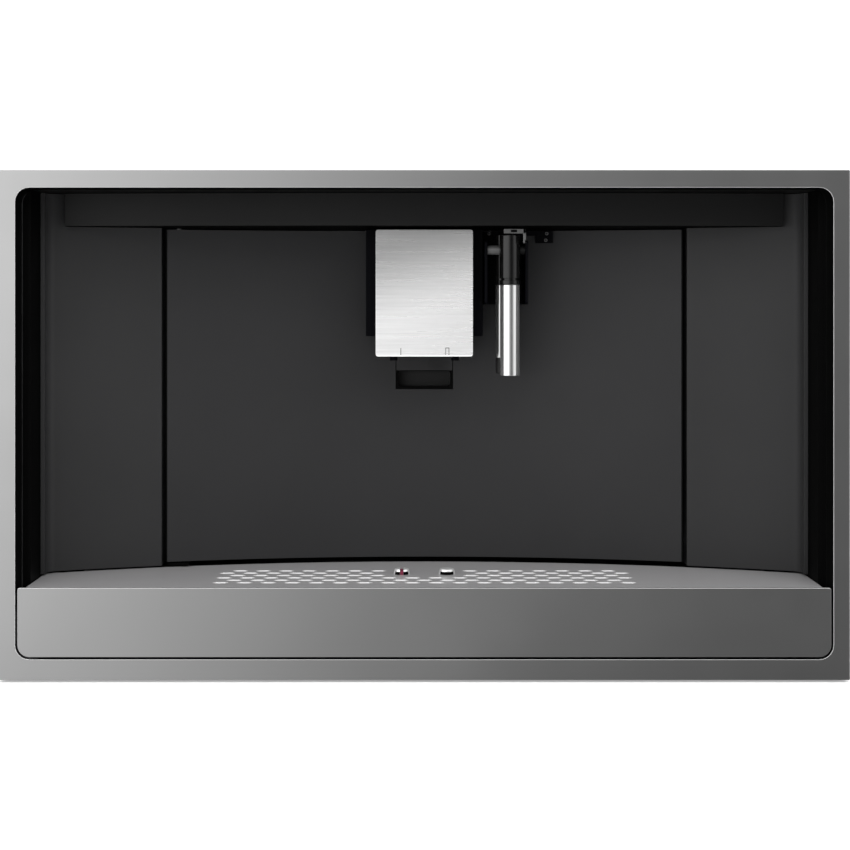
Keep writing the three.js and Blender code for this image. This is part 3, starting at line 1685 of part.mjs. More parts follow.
function makeChamber() {
  const wall = brewBack - brewBaseThick - seat;
  const armBottom = chamberBottom + armHeight / 2;
  const cup = turned(brewX, chamberY, [
    [0, chamberBottom],
    [chamberRadius - chamberEdge, chamberBottom],
    [chamberRadius, chamberBottom + chamberEdge],
    [chamberRadius, chamberTop],
    [chamberBore, chamberTop],
    [chamberBore, chamberBottom + chamberFloor],
    [0, chamberBottom + chamberFloor],
  ], wideSteps);
  const arm = block(
    brewX - armHalf,
    brewX + armHalf,
    chamberY + (chamberRadius + chamberBore) / 2,
    wall,
    armBottom,
    armBottom + armHeight,
  );
  const nutRadius = screwRadius + pinGap;
  const nut = rod('z', brewX, screwY, nutRadius, armBottom - over, armBottom + armHeight + over);
  return join(cup, cut(arm, nut));
}

function makePiston() {
  const head = chamberBore - pistonGap;
  const groove = 1.5;
  const pistonBottom = chamberTop + pistonClear;
  return turned(brewX, chamberY, [
    [0, pistonBottom],
    [head - groove, pistonBottom],
    [head, pistonBottom + groove],
    [head, pistonBottom + 3 * groove],
    [head - groove, pistonBottom + 3 * groove],
    [head - groove, pistonBottom + 5 * groove],
    [head, pistonBottom + 5 * groove],
    [head, pistonBottom + pistonHead],
    [head / 2, pistonBottom + pistonHead],
    [head / 2, pistonTop],
    [nippleRadius, pistonTop],
    [nippleRadius, pistonNippleTop],
    [0, pistonNippleTop],
  ]);
}

function makeContainer() {
  return tub(
    -doorwayHalf + containerFromDoorway,
    brewX - brewHalf - containerFromBrew,
    bulkheadBackY + 4 * seat,
    heaterFront - containerFromHeater,
    onBayShelf,
    onBayShelf + containerHeight,
    containerCorner,
    containerWall,
  );
}

function makeBrew(group, screwGroup, chamberGroup) {
  part(group, 'brew_bay', zincSheet, makeBay());
  part(group, 'brew_frame', greyPlastic, makeBrewFrame());
  part(group, 'brew_motor', motorSteel, makeBrewMotor());
  part(group, 'brew_piston', greyPlastic, makePiston());
  part(screwGroup, 'lead_screw', burrSteel, makeScrew());
  part(chamberGroup, 'brew_chamber', greyPlastic, makeChamber());
  part(group, 'grounds_container', mouldedBlack, makeContainer());
}

// ---- Electrics ----
function makeBoard() {
  const back = rearInnerY - seat - boardStandoff;
  const right = boardLeft + boardWidth;
  const top = bodyTop - boardDrop;
  const bottom = top - boardHeight;
  const card = slab('y', rect(boardLeft, right, bottom, top), back - boardThick, back);
  const inset = boardPostInset;
  const corners = [boardLeft + inset, right - inset].flatMap((x) =>
    [bottom + inset, top - inset].map((z) => [x, z]),
  );
  const posts = corners.map(([x, z]) => rod('y', x, z, boardPost, back - seat, rearInnerY - seat, 8));
  const front = back - boardThick + seat;
  const size = relaySize;
  const relayTop = top - 2 * inset;
  const relays = [0, 1, 2].map((i) => {
    const left = boardLeft + 2 * inset + i * relayPitch;
    return block(left, left + size, front - size, front, relayTop - size, relayTop);
  });
  const coil = rod('y', right - 2 * coilRadius, bottom + 2 * coilRadius, coilRadius, front - size, front);
  const plugRight = right - 4 * coilRadius;
  const plugFront = front - plugHeight;
  const plugs = block(boardLeft + inset, plugRight, plugFront, front, bottom + inset / 2, bottom + 2 * inset);
  return join(card, ...posts, ...relays, coil, plugs);
}

const switchZ = socketZ + inletDrop - (inletDrop - switchHalfHeight) / 2;
const inletZ = socketZ - inletDrop;
const switchPivotY = rearY - switchPivotDepth - seat;

function makeSocket() {
  const rimInner = rearOuterY + seat;
  const rim = roundedRect(
    socketX - socketHalfWidth - socketRim,
    socketX + socketHalfWidth + socketRim,
    socketZ - socketHalfHeight - socketRim,
    socketZ + socketHalfHeight + socketRim,
    socketRim,
  );
  const bodyOutline = rect(
    socketX - socketHalfWidth,
    socketX + socketHalfWidth,
    socketZ - socketHalfHeight,
    socketZ + socketHalfHeight,
  );
  const inlet = roundedRect(
    socketX - inletHalfWidth,
    socketX + inletHalfWidth,
    inletZ - inletHalfHeight,
    inletZ + inletHalfHeight,
    inletCorner,
    2,
  );
  const windowHalf = switchHalfHeight + switchSwing;
  const well = switchHalfWidth + runGap;
  const window = rect(socketX - well, socketX + well, switchZ - windowHalf, switchZ + windowHalf);
  const blades = [-1, 0, 1].map((i) => {
    const x = socketX + i * bladePitch - bladeThick / 2;
    const z = inletZ - bladeHeight / 2;
    return block(
      x,
      x + bladeThick,
      rearY - inletDepth - over,
      rearY - bladeInset,
      z,
      z + bladeHeight,
    );
  });
  const holeHalf = well + switchPinHole;
  const housing = cut(
    join(slab('y', rim, rimInner, rearY), slab('y', bodyOutline, rearY - socketBody, rimInner + seat)),
    slab('y', inlet, rearY - inletDepth, rearY + over),
    slab('y', window, rearY - 2 * switchPivotDepth, rearY + over),
    rod('x', switchPivotY, switchZ, switchPin + pinGap, socketX - holeHalf, socketX + holeHalf, 10),
  );
  return join(housing, ...blades);
}

function makeSwitch() {
  const face = rearY - 2 * seat;
  const outline = [
    point(face - switchThick, switchZ - switchHalfHeight),
    point(face - switchThick, switchZ + switchHalfHeight),
    point(face, switchZ + switchHalfHeight),
    point(face - switchDip, switchZ),
    point(face, switchZ - switchHalfHeight),
  ];
  const pinEnd = switchHalfWidth + runGap + switchPinHole - 2 * seat;
  return join(
    slab('x', outline, socketX - switchHalfWidth, socketX + switchHalfWidth),
    rod('x', switchPivotY, switchZ, switchPin, socketX - pinEnd, socketX + pinEnd, 10),
  );
}

function makeElectrics(group, switchGroup) {
  part(group, 'control_board', boardGreen, makeBoard());
  part(group, 'mains_socket', mouldedBlack, makeSocket());
  part(switchGroup, 'mains_switch', mouldedBlack, makeSwitch());
}

// ---- Assembly: each group holds the pieces that move together ----
const machine = new THREE.Group();
const branch = (parent) => {
  const group = new THREE.Group();
  parent.add(group);
  return group;
};
const chassis = branch(machine);
const door = branch(chassis);
const tray = branch(chassis);
const tank = branch(chassis);

makeRails(machine);
part(chassis, 'front_frame', satinMetal, makeFrontFrame());
makeNiche(chassis);
makeCasing(chassis);
makeDoorHinge(chassis);
makeDoor(door);
makeSpout(door, branch(door));
makeNozzle(door, branch(door));
makeTray(tray, branch(tray));
makeWater(chassis, tank, branch(tank));
makeBeans(chassis, branch(chassis), branch(chassis), branch(chassis));
makeBrew(chassis, branch(chassis), branch(chassis));
makeElectrics(chassis, branch(chassis));

export default machine;
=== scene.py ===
import bmesh
import bpy
import json
import math
from mathutils import Matrix, Vector


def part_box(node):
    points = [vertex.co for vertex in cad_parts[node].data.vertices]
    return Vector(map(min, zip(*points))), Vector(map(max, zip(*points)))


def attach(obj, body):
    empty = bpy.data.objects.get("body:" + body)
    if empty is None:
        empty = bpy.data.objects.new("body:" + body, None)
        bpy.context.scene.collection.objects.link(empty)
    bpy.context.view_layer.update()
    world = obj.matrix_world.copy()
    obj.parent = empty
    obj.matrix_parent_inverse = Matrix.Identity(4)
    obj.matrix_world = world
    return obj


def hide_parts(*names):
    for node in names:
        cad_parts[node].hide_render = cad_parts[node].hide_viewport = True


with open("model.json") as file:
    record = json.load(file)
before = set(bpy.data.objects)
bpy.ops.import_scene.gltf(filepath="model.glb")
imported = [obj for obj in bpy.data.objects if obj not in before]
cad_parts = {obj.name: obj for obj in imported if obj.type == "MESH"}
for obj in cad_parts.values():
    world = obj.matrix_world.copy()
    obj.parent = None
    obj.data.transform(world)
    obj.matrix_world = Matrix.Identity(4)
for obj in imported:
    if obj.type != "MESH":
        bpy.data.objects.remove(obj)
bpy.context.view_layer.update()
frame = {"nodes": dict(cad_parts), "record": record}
nodes = frame["nodes"]
mm = 0.001

# camera: straight along +Y, its height set by the horizon of the photograph

photo = {
    "size": 850,  # pixels each way
    "horizonRow": 305,
    "middleColumn": 424.3,
    "frontPixels": 851.6,  # the front's width in the photograph
}
cameraAt = {"distance": 1.10, "height": 0.264, "sensor": 36}


def makeCamera():
    frontLow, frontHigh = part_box("front_frame")
    spanAtFront = (frontHigh.x - frontLow.x) * photo["size"] / photo["frontPixels"]
    data = bpy.data.cameras.new("camera")
    data.sensor_width = cameraAt["sensor"]
    data.lens = cameraAt["sensor"] * cameraAt["distance"] / spanAtFront
    data.shift_x = (photo["size"] / 2 - photo["middleColumn"]) / photo["size"]
    data.shift_y = (photo["horizonRow"] - photo["size"] / 2) / photo["size"]
    data.dof.use_dof = False
    camera = bpy.data.objects.new("camera", data)
    camera.location = (0, frontLow.y - cameraAt["distance"], cameraAt["height"])
    camera.rotation_euler = (math.radians(90), 0, 0)
    bpy.context.scene.collection.objects.link(camera)
    bpy.context.scene.camera = camera


makeCamera()
print("camera done")


# node helpers

def newMaterial(name):
    mat = bpy.data.materials.new(name)
    mat.use_nodes = True
    tree = mat.node_tree
    shader = next(n for n in tree.nodes if n.type == "BSDF_PRINCIPLED")
    return mat, tree, shader


def addNode(tree, kind, values=None, **props):
    node = tree.nodes.new(kind)
    for key, value in props.items():
        setattr(node, key, value)
    for key, value in (values or {}).items():
        node.inputs[key].default_value = value
    return node


def newGroup(name, inputs, outputs):
    group = bpy.data.node_groups.new(name, "ShaderNodeTree")
    for label, kind, value in inputs:
        socket = group.interface.new_socket(name=label, in_out="INPUT", socket_type=kind)
        socket.default_value = value
    for label, kind in outputs:
        group.interface.new_socket(name=label, in_out="OUTPUT", socket_type=kind)
    return group, group.nodes.new("NodeGroupInput"), group.nodes.new("NodeGroupOutput")


def useGroup(tree, group, values):
    node = tree.nodes.new("ShaderNodeGroup")
    node.node_tree = group
    for key, value in values.items():
        node.inputs[key].default_value = value
    return node


def floatSocket(label, value):
    return (label, "NodeSocketFloat", value)


# fine grain of a moulded or blasted face: two noises of different size
def makeGrainGroup():
    group, start, end = newGroup(
        "grain",
        [floatSocket("Size", 600.0), floatSocket("Low", 0.4), floatSocket("High", 0.5)],
        [("Value", "NodeSocketFloat"), ("Height", "NodeSocketFloat")],
    )
    link = group.links.new
    place = group.nodes.new("ShaderNodeTexCoord")
    fine = addNode(group, "ShaderNodeTexNoise", {"Detail": 3.0, "Roughness": 0.6})
    broad = addNode(group, "ShaderNodeTexNoise", {"Scale": 9.0, "Detail": 4.0})
    spread = addNode(group, "ShaderNodeMapRange", {"From Min": 0.3, "From Max": 0.7})
    link(place.outputs["Object"], fine.inputs["Vector"])
    link(place.outputs["Object"], broad.inputs["Vector"])
    link(start.outputs["Size"], fine.inputs["Scale"])
    link(broad.outputs[0], spread.inputs["Value"])
    link(start.outputs["Low"], spread.inputs["To Min"])
    link(start.outputs["High"], spread.inputs["To Max"])
    link(spread.outputs[0], end.inputs["Value"])
    link(fine.outputs[0], end.inputs["Height"])
    return group


# lines of a brushed or rolled face along X
def makeBrushGroup():
    group, start, end = newGroup(
        "brushing",
        [
            ("Stretch", "NodeSocketVector", (8.0, 900.0, 900.0)),
            floatSocket("Low", 0.25),
            floatSocket("High", 0.4),
        ],
        [("Value", "NodeSocketFloat"), ("Height", "NodeSocketFloat")],
    )
    link = group.links.new
    place = group.nodes.new("ShaderNodeTexCoord")
    mapping = group.nodes.new("ShaderNodeMapping")
    lines = addNode(group, "ShaderNodeTexNoise", {"Scale": 1.0, "Detail": 2.0})
    spread = addNode(group, "ShaderNodeMapRange", {"From Min": 0.25, "From Max": 0.75})
    link(place.outputs["Object"], mapping.inputs["Vector"])
    link(start.outputs["Stretch"], mapping.inputs["Scale"])
    link(mapping.outputs[0], lines.inputs["Vector"])
    link(lines.outputs[0], spread.inputs["Value"])
    link(start.outputs["Low"], spread.inputs["To Min"])
    link(start.outputs["High"], spread.inputs["To Max"])
    link(spread.outputs[0], end.inputs["Value"])
    link(lines.outputs[0], end.inputs["Height"])
    return group


# a colour that fades from one grey to another along a direction; the spout plate uses it for
# painted light
def makeFadeGroup():
    group, start, end = newGroup(
        "fade",
        [
            floatSocket("From", 0.0),
            floatSocket("To", 0.3),
            ("Direction", "NodeSocketVector", (0.0, 0.0, 1.0)),
            ("Start", "NodeSocketColor", (0.1, 0.1, 0.1, 1)),
            ("End", "NodeSocketColor", (0.2, 0.2, 0.2, 1)),
        ],
        [("Color", "NodeSocketColor")],
    )
    link = group.links.new
    place = group.nodes.new("ShaderNodeTexCoord")
    along = addNode(group, "ShaderNodeVectorMath", operation="DOT_PRODUCT")
    share = addNode(group, "ShaderNodeMapRange", interpolation_type="SMOOTHSTEP")
    mix = addNode(group, "ShaderNodeMix", data_type="RGBA")
    link(place.outputs["Object"], along.inputs[0])
    link(start.outputs["Direction"], along.inputs[1])
    link(along.outputs["Value"], share.inputs["Value"])
    link(start.outputs["From"], share.inputs["From Min"])
    link(start.outputs["To"], share.inputs["From Max"])
    link(share.outputs[0], mix.inputs["Factor"])
    link(start.outputs["Start"], mix.inputs["A"])
    link(start.outputs["End"], mix.inputs["B"])
    link(mix.outputs["Result"], end.inputs["Color"])
    return group


grainGroup = makeGrainGroup()
brushGroup = makeBrushGroup()
fadeGroup = makeFadeGroup()


def grey(value, tint=(1, 1, 1)):
    return (value * tint[0], value * tint[1], value * tint[2], 1)


def addBump(tree, shader, source, strength, distance):
    bump = addNode(tree, "ShaderNodeBump", {"Strength": strength, "Distance": distance})
    tree.links.new(source, bump.inputs["Height"])
    tree.links.new(bump.outputs[0], shader.inputs["Normal"])


# base colour: plain or fading along a direction, with the pattern's streaks or mottle over it
def addColor(tree, shader, look, pattern):
    low, high = look["roughness"]
    mix = addNode(tree, "ShaderNodeMix", {"Factor": 1.0}, data_type="RGBA", blend_type="MULTIPLY")
    shade = addNode(tree, "ShaderNodeMapRange", {
        "From Min": low, "From Max": high,
        "To Min": 1 + look["mottle"], "To Max": 1 - look["mottle"]})
    if "fade" in look:
        fade = useGroup(tree, fadeGroup, look["fade"])
        tree.links.new(fade.outputs["Color"], mix.inputs["A"])
    else:
        mix.inputs["A"].default_value = grey(look["base"], look["tint"])
    tree.links.new(pattern.outputs["Value"], shade.inputs["Value"])
    tree.links.new(shade.outputs[0], mix.inputs["B"])
    tree.links.new(mix.outputs["Result"], shader.inputs["Base Color"])


# what a finish takes where its look names nothing else
usual = {
    "metallic": 0, "specular": 0.5, "grain": 900, "depth": 0.02 * mm, "mottle": 0.06,
    "tint": (1, 1, 1), "clearIndex": 1.49,
}


# a finish: base grey, metallic, roughness range, then grain or brushing, bump and its depth
def makeFinish(name, ownLook):
    look = {**usual, **ownLook}
    mat, tree, shader = newMaterial(name)
    shader.inputs["Metallic"].default_value = look["metallic"]
    shader.inputs["Specular IOR Level"].default_value = look["specular"]
    low, high = look["roughness"]
    if "brushed" in look:
        pattern = useGroup(
            tree, brushGroup, {"Low": low, "High": high, "Stretch": look["brushed"]})
    else:
        pattern = useGroup(
            tree, grainGroup, {"Low": low, "High": high, "Size": look["grain"]})
    tree.links.new(pattern.outputs["Value"], shader.inputs["Roughness"])
    if "bump" in look:
        addBump(tree, shader, pattern.outputs["Height"], look["bump"], look["depth"])
    addColor(tree, shader, look, pattern)
    if "clear" in look:
        shader.inputs["Transmission Weight"].default_value = look["clear"]
        shader.inputs["IOR"].default_value = look["clearIndex"]
    return mat


looks = {
    "satinFrame": {"base": 0.36, "metallic": 1, "roughness": (0.30, 0.36), "grain": 2500,
                   "bump": 0.12, "depth": 0.01 * mm, "mottle": 0.02},
    "satinPlate": {"base": 0.46, "metallic": 0.3, "roughness": (0.28, 0.32), "grain": 2500,
                   "bump": 0.03, "depth": 0.01 * mm, "mottle": 0.02, "tint": (1, 0.985, 1)},
    # painted highlight: a lighter satin for bevels meant to catch the light
    "paintedSatinHighlight": {"base": 0.55, "metallic": 0.3, "roughness": (0.3, 0.4), "mottle": 0.02},
    # painted highlight: near-white finish for edges and slot walls meant to look lit
    "paintedEdgeHighlight": {"base": 0.95, "metallic": 0.1, "roughness": (0.3, 0.4), "mottle": 0.03},
    # painted light: the fade makes the spout plate lighter towards the bottom and darker towards
    # the top
    "brushedPlate": {"metallic": 0.72, "roughness": (0.24, 0.36),
                     "brushed": (11, 300, 480), "bump": 0.15, "depth": 0.015 * mm, "mottle": 0.13,
                     "fade": {"From": 0.252, "To": 0.324, "Direction": (-0.3, 0, 1),
                              "Start": grey(0.85), "End": grey(0.35)}},
    "chrome": {"base": 0.54, "metallic": 0.85, "roughness": (0.12, 0.16), "mottle": 0.02},
    "pipeSteel": {"base": 0.34, "metallic": 0.9, "roughness": (0.15, 0.2), "mottle": 0.03},
    "studChrome": {"base": 0.9, "metallic": 0.6, "roughness": (0.3, 0.4)},
    "glossBlack": {"base": 0.004, "roughness": (0.16, 0.22), "grain": 1500, "specular": 0.3},
    "linerBlack": {"base": 0.0015, "roughness": (0.45, 0.6), "grain": 1500, "specular": 0.03},
    # painted shade: black for gaps, recesses and undersides that lie in shade
    "gapBlack": {"base": 0.0015, "roughness": (0.5, 0.6), "specular": 0.02},
    "wallCoat": {"base": 0.0232, "roughness": (0.40, 0.46), "grain": 2200, "bump": 0.1,
                 "depth": 0.01 * mm, "tint": (1, 1, 1.02), "specular": 0.08},
    "doorCoat": {"base": 0.022, "roughness": (0.40, 0.46), "grain": 2200, "bump": 0.1,
                 "depth": 0.01 * mm, "tint": (1, 1, 1.03), "specular": 0.08},
    "mouldedBlack": {"base": 0.006, "roughness": (0.45, 0.55), "grain": 1400, "bump": 0.2,
                     "depth": 0.03 * mm, "specular": 0.25},
    "guideBlack": {"base": 0.002, "roughness": (0.4, 0.5), "grain": 1500, "bump": 0.1,
                   "specular": 0.03, "tint": (0.9, 0.9, 1.3)},
    "hoodBlack": {"base": 0.0085, "roughness": (0.36, 0.44), "grain": 1800, "bump": 0.1,
                  "specular": 0.08},
    "bracketGrey": {"base": 0.13, "metallic": 0.5, "roughness": (0.35, 0.45), "grain": 1500},
    "zincSheet": {"base": 0.36, "metallic": 1, "roughness": (0.46, 0.53), "grain": 220,
                  "bump": 0.1, "depth": 0.015 * mm, "tint": (0.98, 1, 1.02)},
    "blackSheet": {"base": 0.012, "metallic": 0.3, "roughness": (0.45, 0.55), "specular": 0.2},
    "castMetal": {"base": 0.42, "metallic": 1, "roughness": (0.5, 0.65), "grain": 700,
                  "bump": 0.4, "depth": 0.08 * mm},
    "motorSteel": {"base": 0.2, "metallic": 1, "roughness": (0.35, 0.5), "bump": 0.1},
    "burrSteel": {"base": 0.4, "metallic": 1, "roughness": (0.2, 0.35),
                  "brushed": (900, 900, 40), "bump": 0.2},
    "clearPlastic": {"base": 0.85, "roughness": (0.05, 0.12), "clear": 0.9, "mottle": 0.01},
    "smokedPlastic": {"base": 0.12, "roughness": (0.06, 0.14), "clear": 0.8, "mottle": 0.01,
                      "tint": (1, 0.85, 0.7)},
    "greyPlastic": {"base": 0.30, "roughness": (0.4, 0.5), "grain": 1200, "bump": 0.15},
    "redPlastic": {"base": 0.2, "roughness": (0.3, 0.4), "tint": (1, 0.1, 0.26), "grain": 1200,
                   "bump": 0.1},
    "boardGreen": {"base": 0.14, "roughness": (0.3, 0.45), "tint": (0.1, 1, 0.35), "grain": 500,
                   "bump": 0.1},
    "hoseRubber": {"base": 0.015, "roughness": (0.6, 0.75), "bump": 0.3},
    "screwSteel": {"base": 0.45, "metallic": 1, "roughness": (0.25, 0.4)},
}
finishes = {name: makeFinish(name, look) for name, look in looks.items()}
print("materials done")


# every CAD node gets its finish

nodeFinish = {
    "satinFrame": ["front_frame", "tray_front"],
    "satinPlate": ["cup_plate"],
    "brushedPlate": ["spout_plate"],
    "chrome": ["nozzle_sleeve"],
    "glossBlack": ["nozzle_body"],
    "linerBlack": ["liner"],
    # painted shade: these parts are given black for the shade they lie in
    "gapBlack": ["hinge_bracket_lower", "grip_insert"],
    "guideBlack": ["spout_guide", "spout_carriage", "nozzle_carrier", "twin_outlet"],
    "wallCoat": ["wall_panel_left", "wall_panel_right"],
    "doorCoat": ["service_door"],
    "hoodBlack": ["hood"],
    "mouldedBlack": [
        "drip_basin", "tank_lid", "hopper_lid", "grounds_chute", "grind_knob", "grounds_container",
        "mains_socket", "mains_switch",
    ],
    "zincSheet": [
        "bulkhead", "base_pan", "side_panel_left", "side_panel_right", "rear_panel", "top_cover",
        "brew_bay", "cross_bar_front", "cross_bar_rear", "rail_outer_left",
        "rail_outer_right", "rail_middle_left", "rail_middle_right", "rail_inner_left",
        "rail_inner_right",
    ],
    "castMetal": ["thermoblock", "grinder_housing"],
    "motorSteel": ["hinge_pin_upper", "water_pump", "grinder_motor", "brew_motor"],
    "burrSteel": ["upper_burr", "lower_burr", "lead_screw"],
    "clearPlastic": ["water_tank"],
    "smokedPlastic": ["bean_hopper"],
    "greyPlastic": ["tank_seat", "brew_frame", "brew_piston", "brew_chamber"],
    "redPlastic": ["level_float"],
    "boardGreen": ["control_board"],
    "hoseRubber": ["feed_hose", "pressure_hose", "brew_hose"],
}
finishOf = {node: name for name, members in nodeFinish.items() for node in members}
for node, name in finishOf.items():
    nodes[node].data.materials.clear()
    nodes[node].data.materials.append(finishes[name])


# pieces

def bodyOf(node):
    groups = frame["record"]["behaviour"]["bodies"]
    return next(body for body, members in groups.items() if node in members)


# turns a bmesh into a finished piece on its body
# finish may be a list, whose places are the faces' material numbers
def finishPiece(name, bm, finish, body, smooth=40):
    mesh = bpy.data.meshes.new(name)
    bm.to_mesh(mesh)
    bm.free()
    for part in [finish] if isinstance(finish, str) else finish:
        mesh.materials.append(finishes[part])
    mesh.shade_smooth()
    mesh.set_sharp_from_angle(angle=math.radians(smooth))
    piece = bpy.data.objects.new(name, mesh)
    bpy.context.scene.collection.objects.link(piece)
    weighted = piece.modifiers.new("weightedNormals", "WEIGHTED_NORMAL")
    weighted.keep_sharp = True
    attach(piece, body)
    return piece


def bevelEdges(bm, edges, width, segments):
    bmesh.ops.bevel(
        bm, geom=edges, offset=width, offset_type="OFFSET", affect="EDGES", segments=segments,
        profile=0.5, material=-1, clamp_overlap=True)


# a copy of a CAD node, with its triangles merged into whole faces
nodeCopy = {"weld": 0.002 * mm, "flatAngle": 0.6}


def copyOfNode(node):
    bm = bmesh.new()
    bm.from_mesh(nodes[node].data)
    bmesh.ops.remove_doubles(bm, verts=bm.verts, dist=nodeCopy["weld"])
    bmesh.ops.dissolve_limit(
        bm, angle_limit=math.radians(nodeCopy["flatAngle"]), use_dissolve_boundaries=False,
        verts=bm.verts, edges=bm.edges)
    return bm


# the node again with its sharp edges rounded as the real piece's are
# pick() gives the number of the further finish that a face takes, or 0 for the node's own
def softenNode(node, width, segments=2, sharpAngle=35, pick=None, further=(), split=()):
    bm = copyOfNode(node)
    for place, direction in split:
        bmesh.ops.bisect_plane(
            bm, geom=bm.verts[:] + bm.edges[:] + bm.faces[:], plane_co=place, plane_no=direction)
    sharp = [
        e for e in bm.edges
        if len(e.link_faces) == 2 and e.calc_face_angle() > math.radians(sharpAngle)
    ]
    bevelEdges(bm, sharp, width, segments)
    if pick:
        bm.normal_update()
        for face in bm.faces:
            face.material_index = int(pick(face))
    finish = [finishOf[node], *further]
    piece = finishPiece("soft." + node, bm, finish, bodyOf(node))
    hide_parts(node)


softWidths = {
    "wall_panel_left": 0.3 * mm,
    "wall_panel_right": 0.3 * mm,
    "spout_carriage": 0.4 * mm,
    "spout_guide": 0.4 * mm,
    "twin_outlet": 0.3 * mm,
    "nozzle_carrier": 0.25 * mm,
    "tank_lid": 0.6 * mm,
    "hopper_lid": 0.6 * mm,
    "grind_knob": 0.3 * mm,
    "top_cover": 0.3 * mm,
    "mains_socket": 0.4 * mm,
    "mains_switch": 0.4 * mm,
}
for node, width in softWidths.items():
    softenNode(node, width)

# frame: its inner bevel takes a lighter satin as a painted highlight, and the returns behind it
# are black as painted shade
frameEdge = {"bevel": 0.7 * mm, "return": 0.75 * mm, "border": 9 * mm, "facing": -0.98}
frameLow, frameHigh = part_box("front_frame")


def framePart(face):
    middle = face.calc_center_median()
    inside = (abs(middle.x) < frameHigh.x - frameEdge["border"]
              and frameLow.z + frameEdge["border"] < middle.z < frameHigh.z - frameEdge["border"])
    if not inside or face.normal.y < frameEdge["facing"]:
        return 0
    return 1 if middle.y > frameLow.y + frameEdge["return"] else 2


softenNode(
    "front_frame", frameEdge["bevel"], pick=framePart, further=["linerBlack", "paintedSatinHighlight"])

# liner: its ceiling takes the hood's shade
liner = {"bevel": 0.2 * mm, "ceiling": -0.6}
softenNode(
    "liner", liner["bevel"], 1, pick=lambda face: face.normal.z < liner["ceiling"],
    further=["hoodBlack"])

# hood: its underside black as painted shade
hood = {"bevel": 0.35 * mm, "underside": -0.5}
softenNode(
    "hood", hood["bevel"], pick=lambda face: face.normal.z < hood["underside"],
    further=["gapBlack"])

# door: its side edges black as painted shade for the gap beside the wall panels
door = {"bevel": 0.3 * mm, "edge": 1.1 * mm}
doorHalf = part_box("service_door")[1].x - door["edge"]
softenNode(
    "service_door", door["bevel"],
    split=[((side * doorHalf, 0, 0), (1, 0, 0)) for side in (-1, 1)],
    pick=lambda face: abs(face.calc_center_median().x) > doorHalf, further=["gapBlack"])

# bulkhead: the strip seen under the door is black as painted shade
bulkhead = {"bevel": 0.15 * mm, "darkTop": 71 * mm}
softenNode(
    "bulkhead", bulkhead["bevel"], 1, split=[((0, 0, bulkhead["darkTop"]), (0, 0, 1))],
    pick=lambda face: face.calc_center_median().z < bulkhead["darkTop"], further=["gapBlack"])

# spout plate: a near-white strip along its bottom edge under the brushed face, a painted highlight
spoutEdge = {"bevel": 0.35 * mm, "highlightHeight": 0.75 * mm}
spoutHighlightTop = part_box("spout_plate")[0].z + spoutEdge["highlightHeight"]
softenNode(
    "spout_plate", spoutEdge["bevel"], split=[((0, 0, spoutHighlightTop), (0, 0, 1))],
    pick=lambda face: face.calc_center_median().z < spoutHighlightTop, further=["paintedEdgeHighlight"])

# grip: door-coloured upper face, a black rim as painted shade, and a moulded pocket
grip = {"bevel": 0.25 * mm, "rimTop": 14.2 * mm, "pocket": 3 * mm, "facing": -0.5}
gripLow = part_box("grip_insert")[0]
gripRim = gripLow.z + grip["rimTop"]


def gripPart(face):
    middle = face.calc_center_median()
    if middle.y > gripLow.y + grip["pocket"]:
        return 2
    return middle.z > gripRim and face.normal.y < grip["facing"]


softenNode(
    "grip_insert", grip["bevel"], split=[((0, 0, gripRim), (0, 0, 1))],
    pick=gripPart, further=["doorCoat", "mouldedBlack"])

# tray front: rounded top edge, whose bevel faces take a lighter satin as a painted highlight
trayEdge = {"bevel": 0.8 * mm, "segments": 3, "sharpAngle": 50, "lean": 0.25, "flat": 0.97}


def isTrayEdge(face):
    return (trayEdge["lean"] < face.normal.z < trayEdge["flat"]
            and face.normal.y < -trayEdge["lean"])


softenNode(
    "tray_front", trayEdge["bevel"], trayEdge["segments"], trayEdge["sharpAngle"],
    pick=isTrayEdge, further=["paintedSatinHighlight"])

# cup plate: the far walls of its slots take a near-white finish, a painted highlight
plateEdge = {"bevel": 0.15 * mm, "slotsHalf": 220 * mm, "slotsFront": -172 * mm, "facing": -0.6}
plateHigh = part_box("cup_plate")[1]


def isSlotHighlight(face):
    middle = face.calc_center_median()
    return (face.normal.y < plateEdge["facing"] and abs(middle.x) < plateEdge["slotsHalf"]
            and middle.y > plateEdge["slotsFront"])


softenNode("cup_plate", plateEdge["bevel"], 1, pick=isSlotHighlight, further=["paintedEdgeHighlight"])
print("softened nodes done")


# new pieces

def addBox(bm, low, high):
    size = [high[i] - low[i] for i in range(3)]
    middle = [(high[i] + low[i]) / 2 for i in range(3)]
    made = bmesh.ops.create_cube(bm, size=1)["verts"]
    bmesh.ops.scale(bm, vec=size, verts=made)
    bmesh.ops.translate(bm, vec=middle, verts=made)


# boxes given by their low and high corners, with rounded edges, as one piece
def boxPiece(name, boxes, finish, body, bevel):
    bm = bmesh.new()
    for low, high in boxes:
        addBox(bm, low, high)
    bevelEdges(bm, bm.edges[:], bevel, 2)
    finishPiece(name, bm, finish, body)


# where the middle point of a rounded corner lies, as a share of the corner's radius
cornerMiddle = 0.3


# a profile of (radius, height) pairs turned round an upright axis through (x, y)
def turnProfile(bm, x, y, profile, steps=64):
    verts = [bm.verts.new((x + r, y, z)) for r, z in profile]
    edges = [bm.edges.new(pair) for pair in zip(verts, verts[1:])]
    bmesh.ops.spin(
        bm, geom=verts + edges, cent=(x, y, 0), axis=(0, 0, 1), angle=2 * math.pi, steps=steps,
        use_merge=True, use_duplicate=False)
    bmesh.ops.remove_doubles(bm, verts=bm.verts, dist=0.001 * mm)
    bmesh.ops.recalc_face_normals(bm, faces=bm.faces)


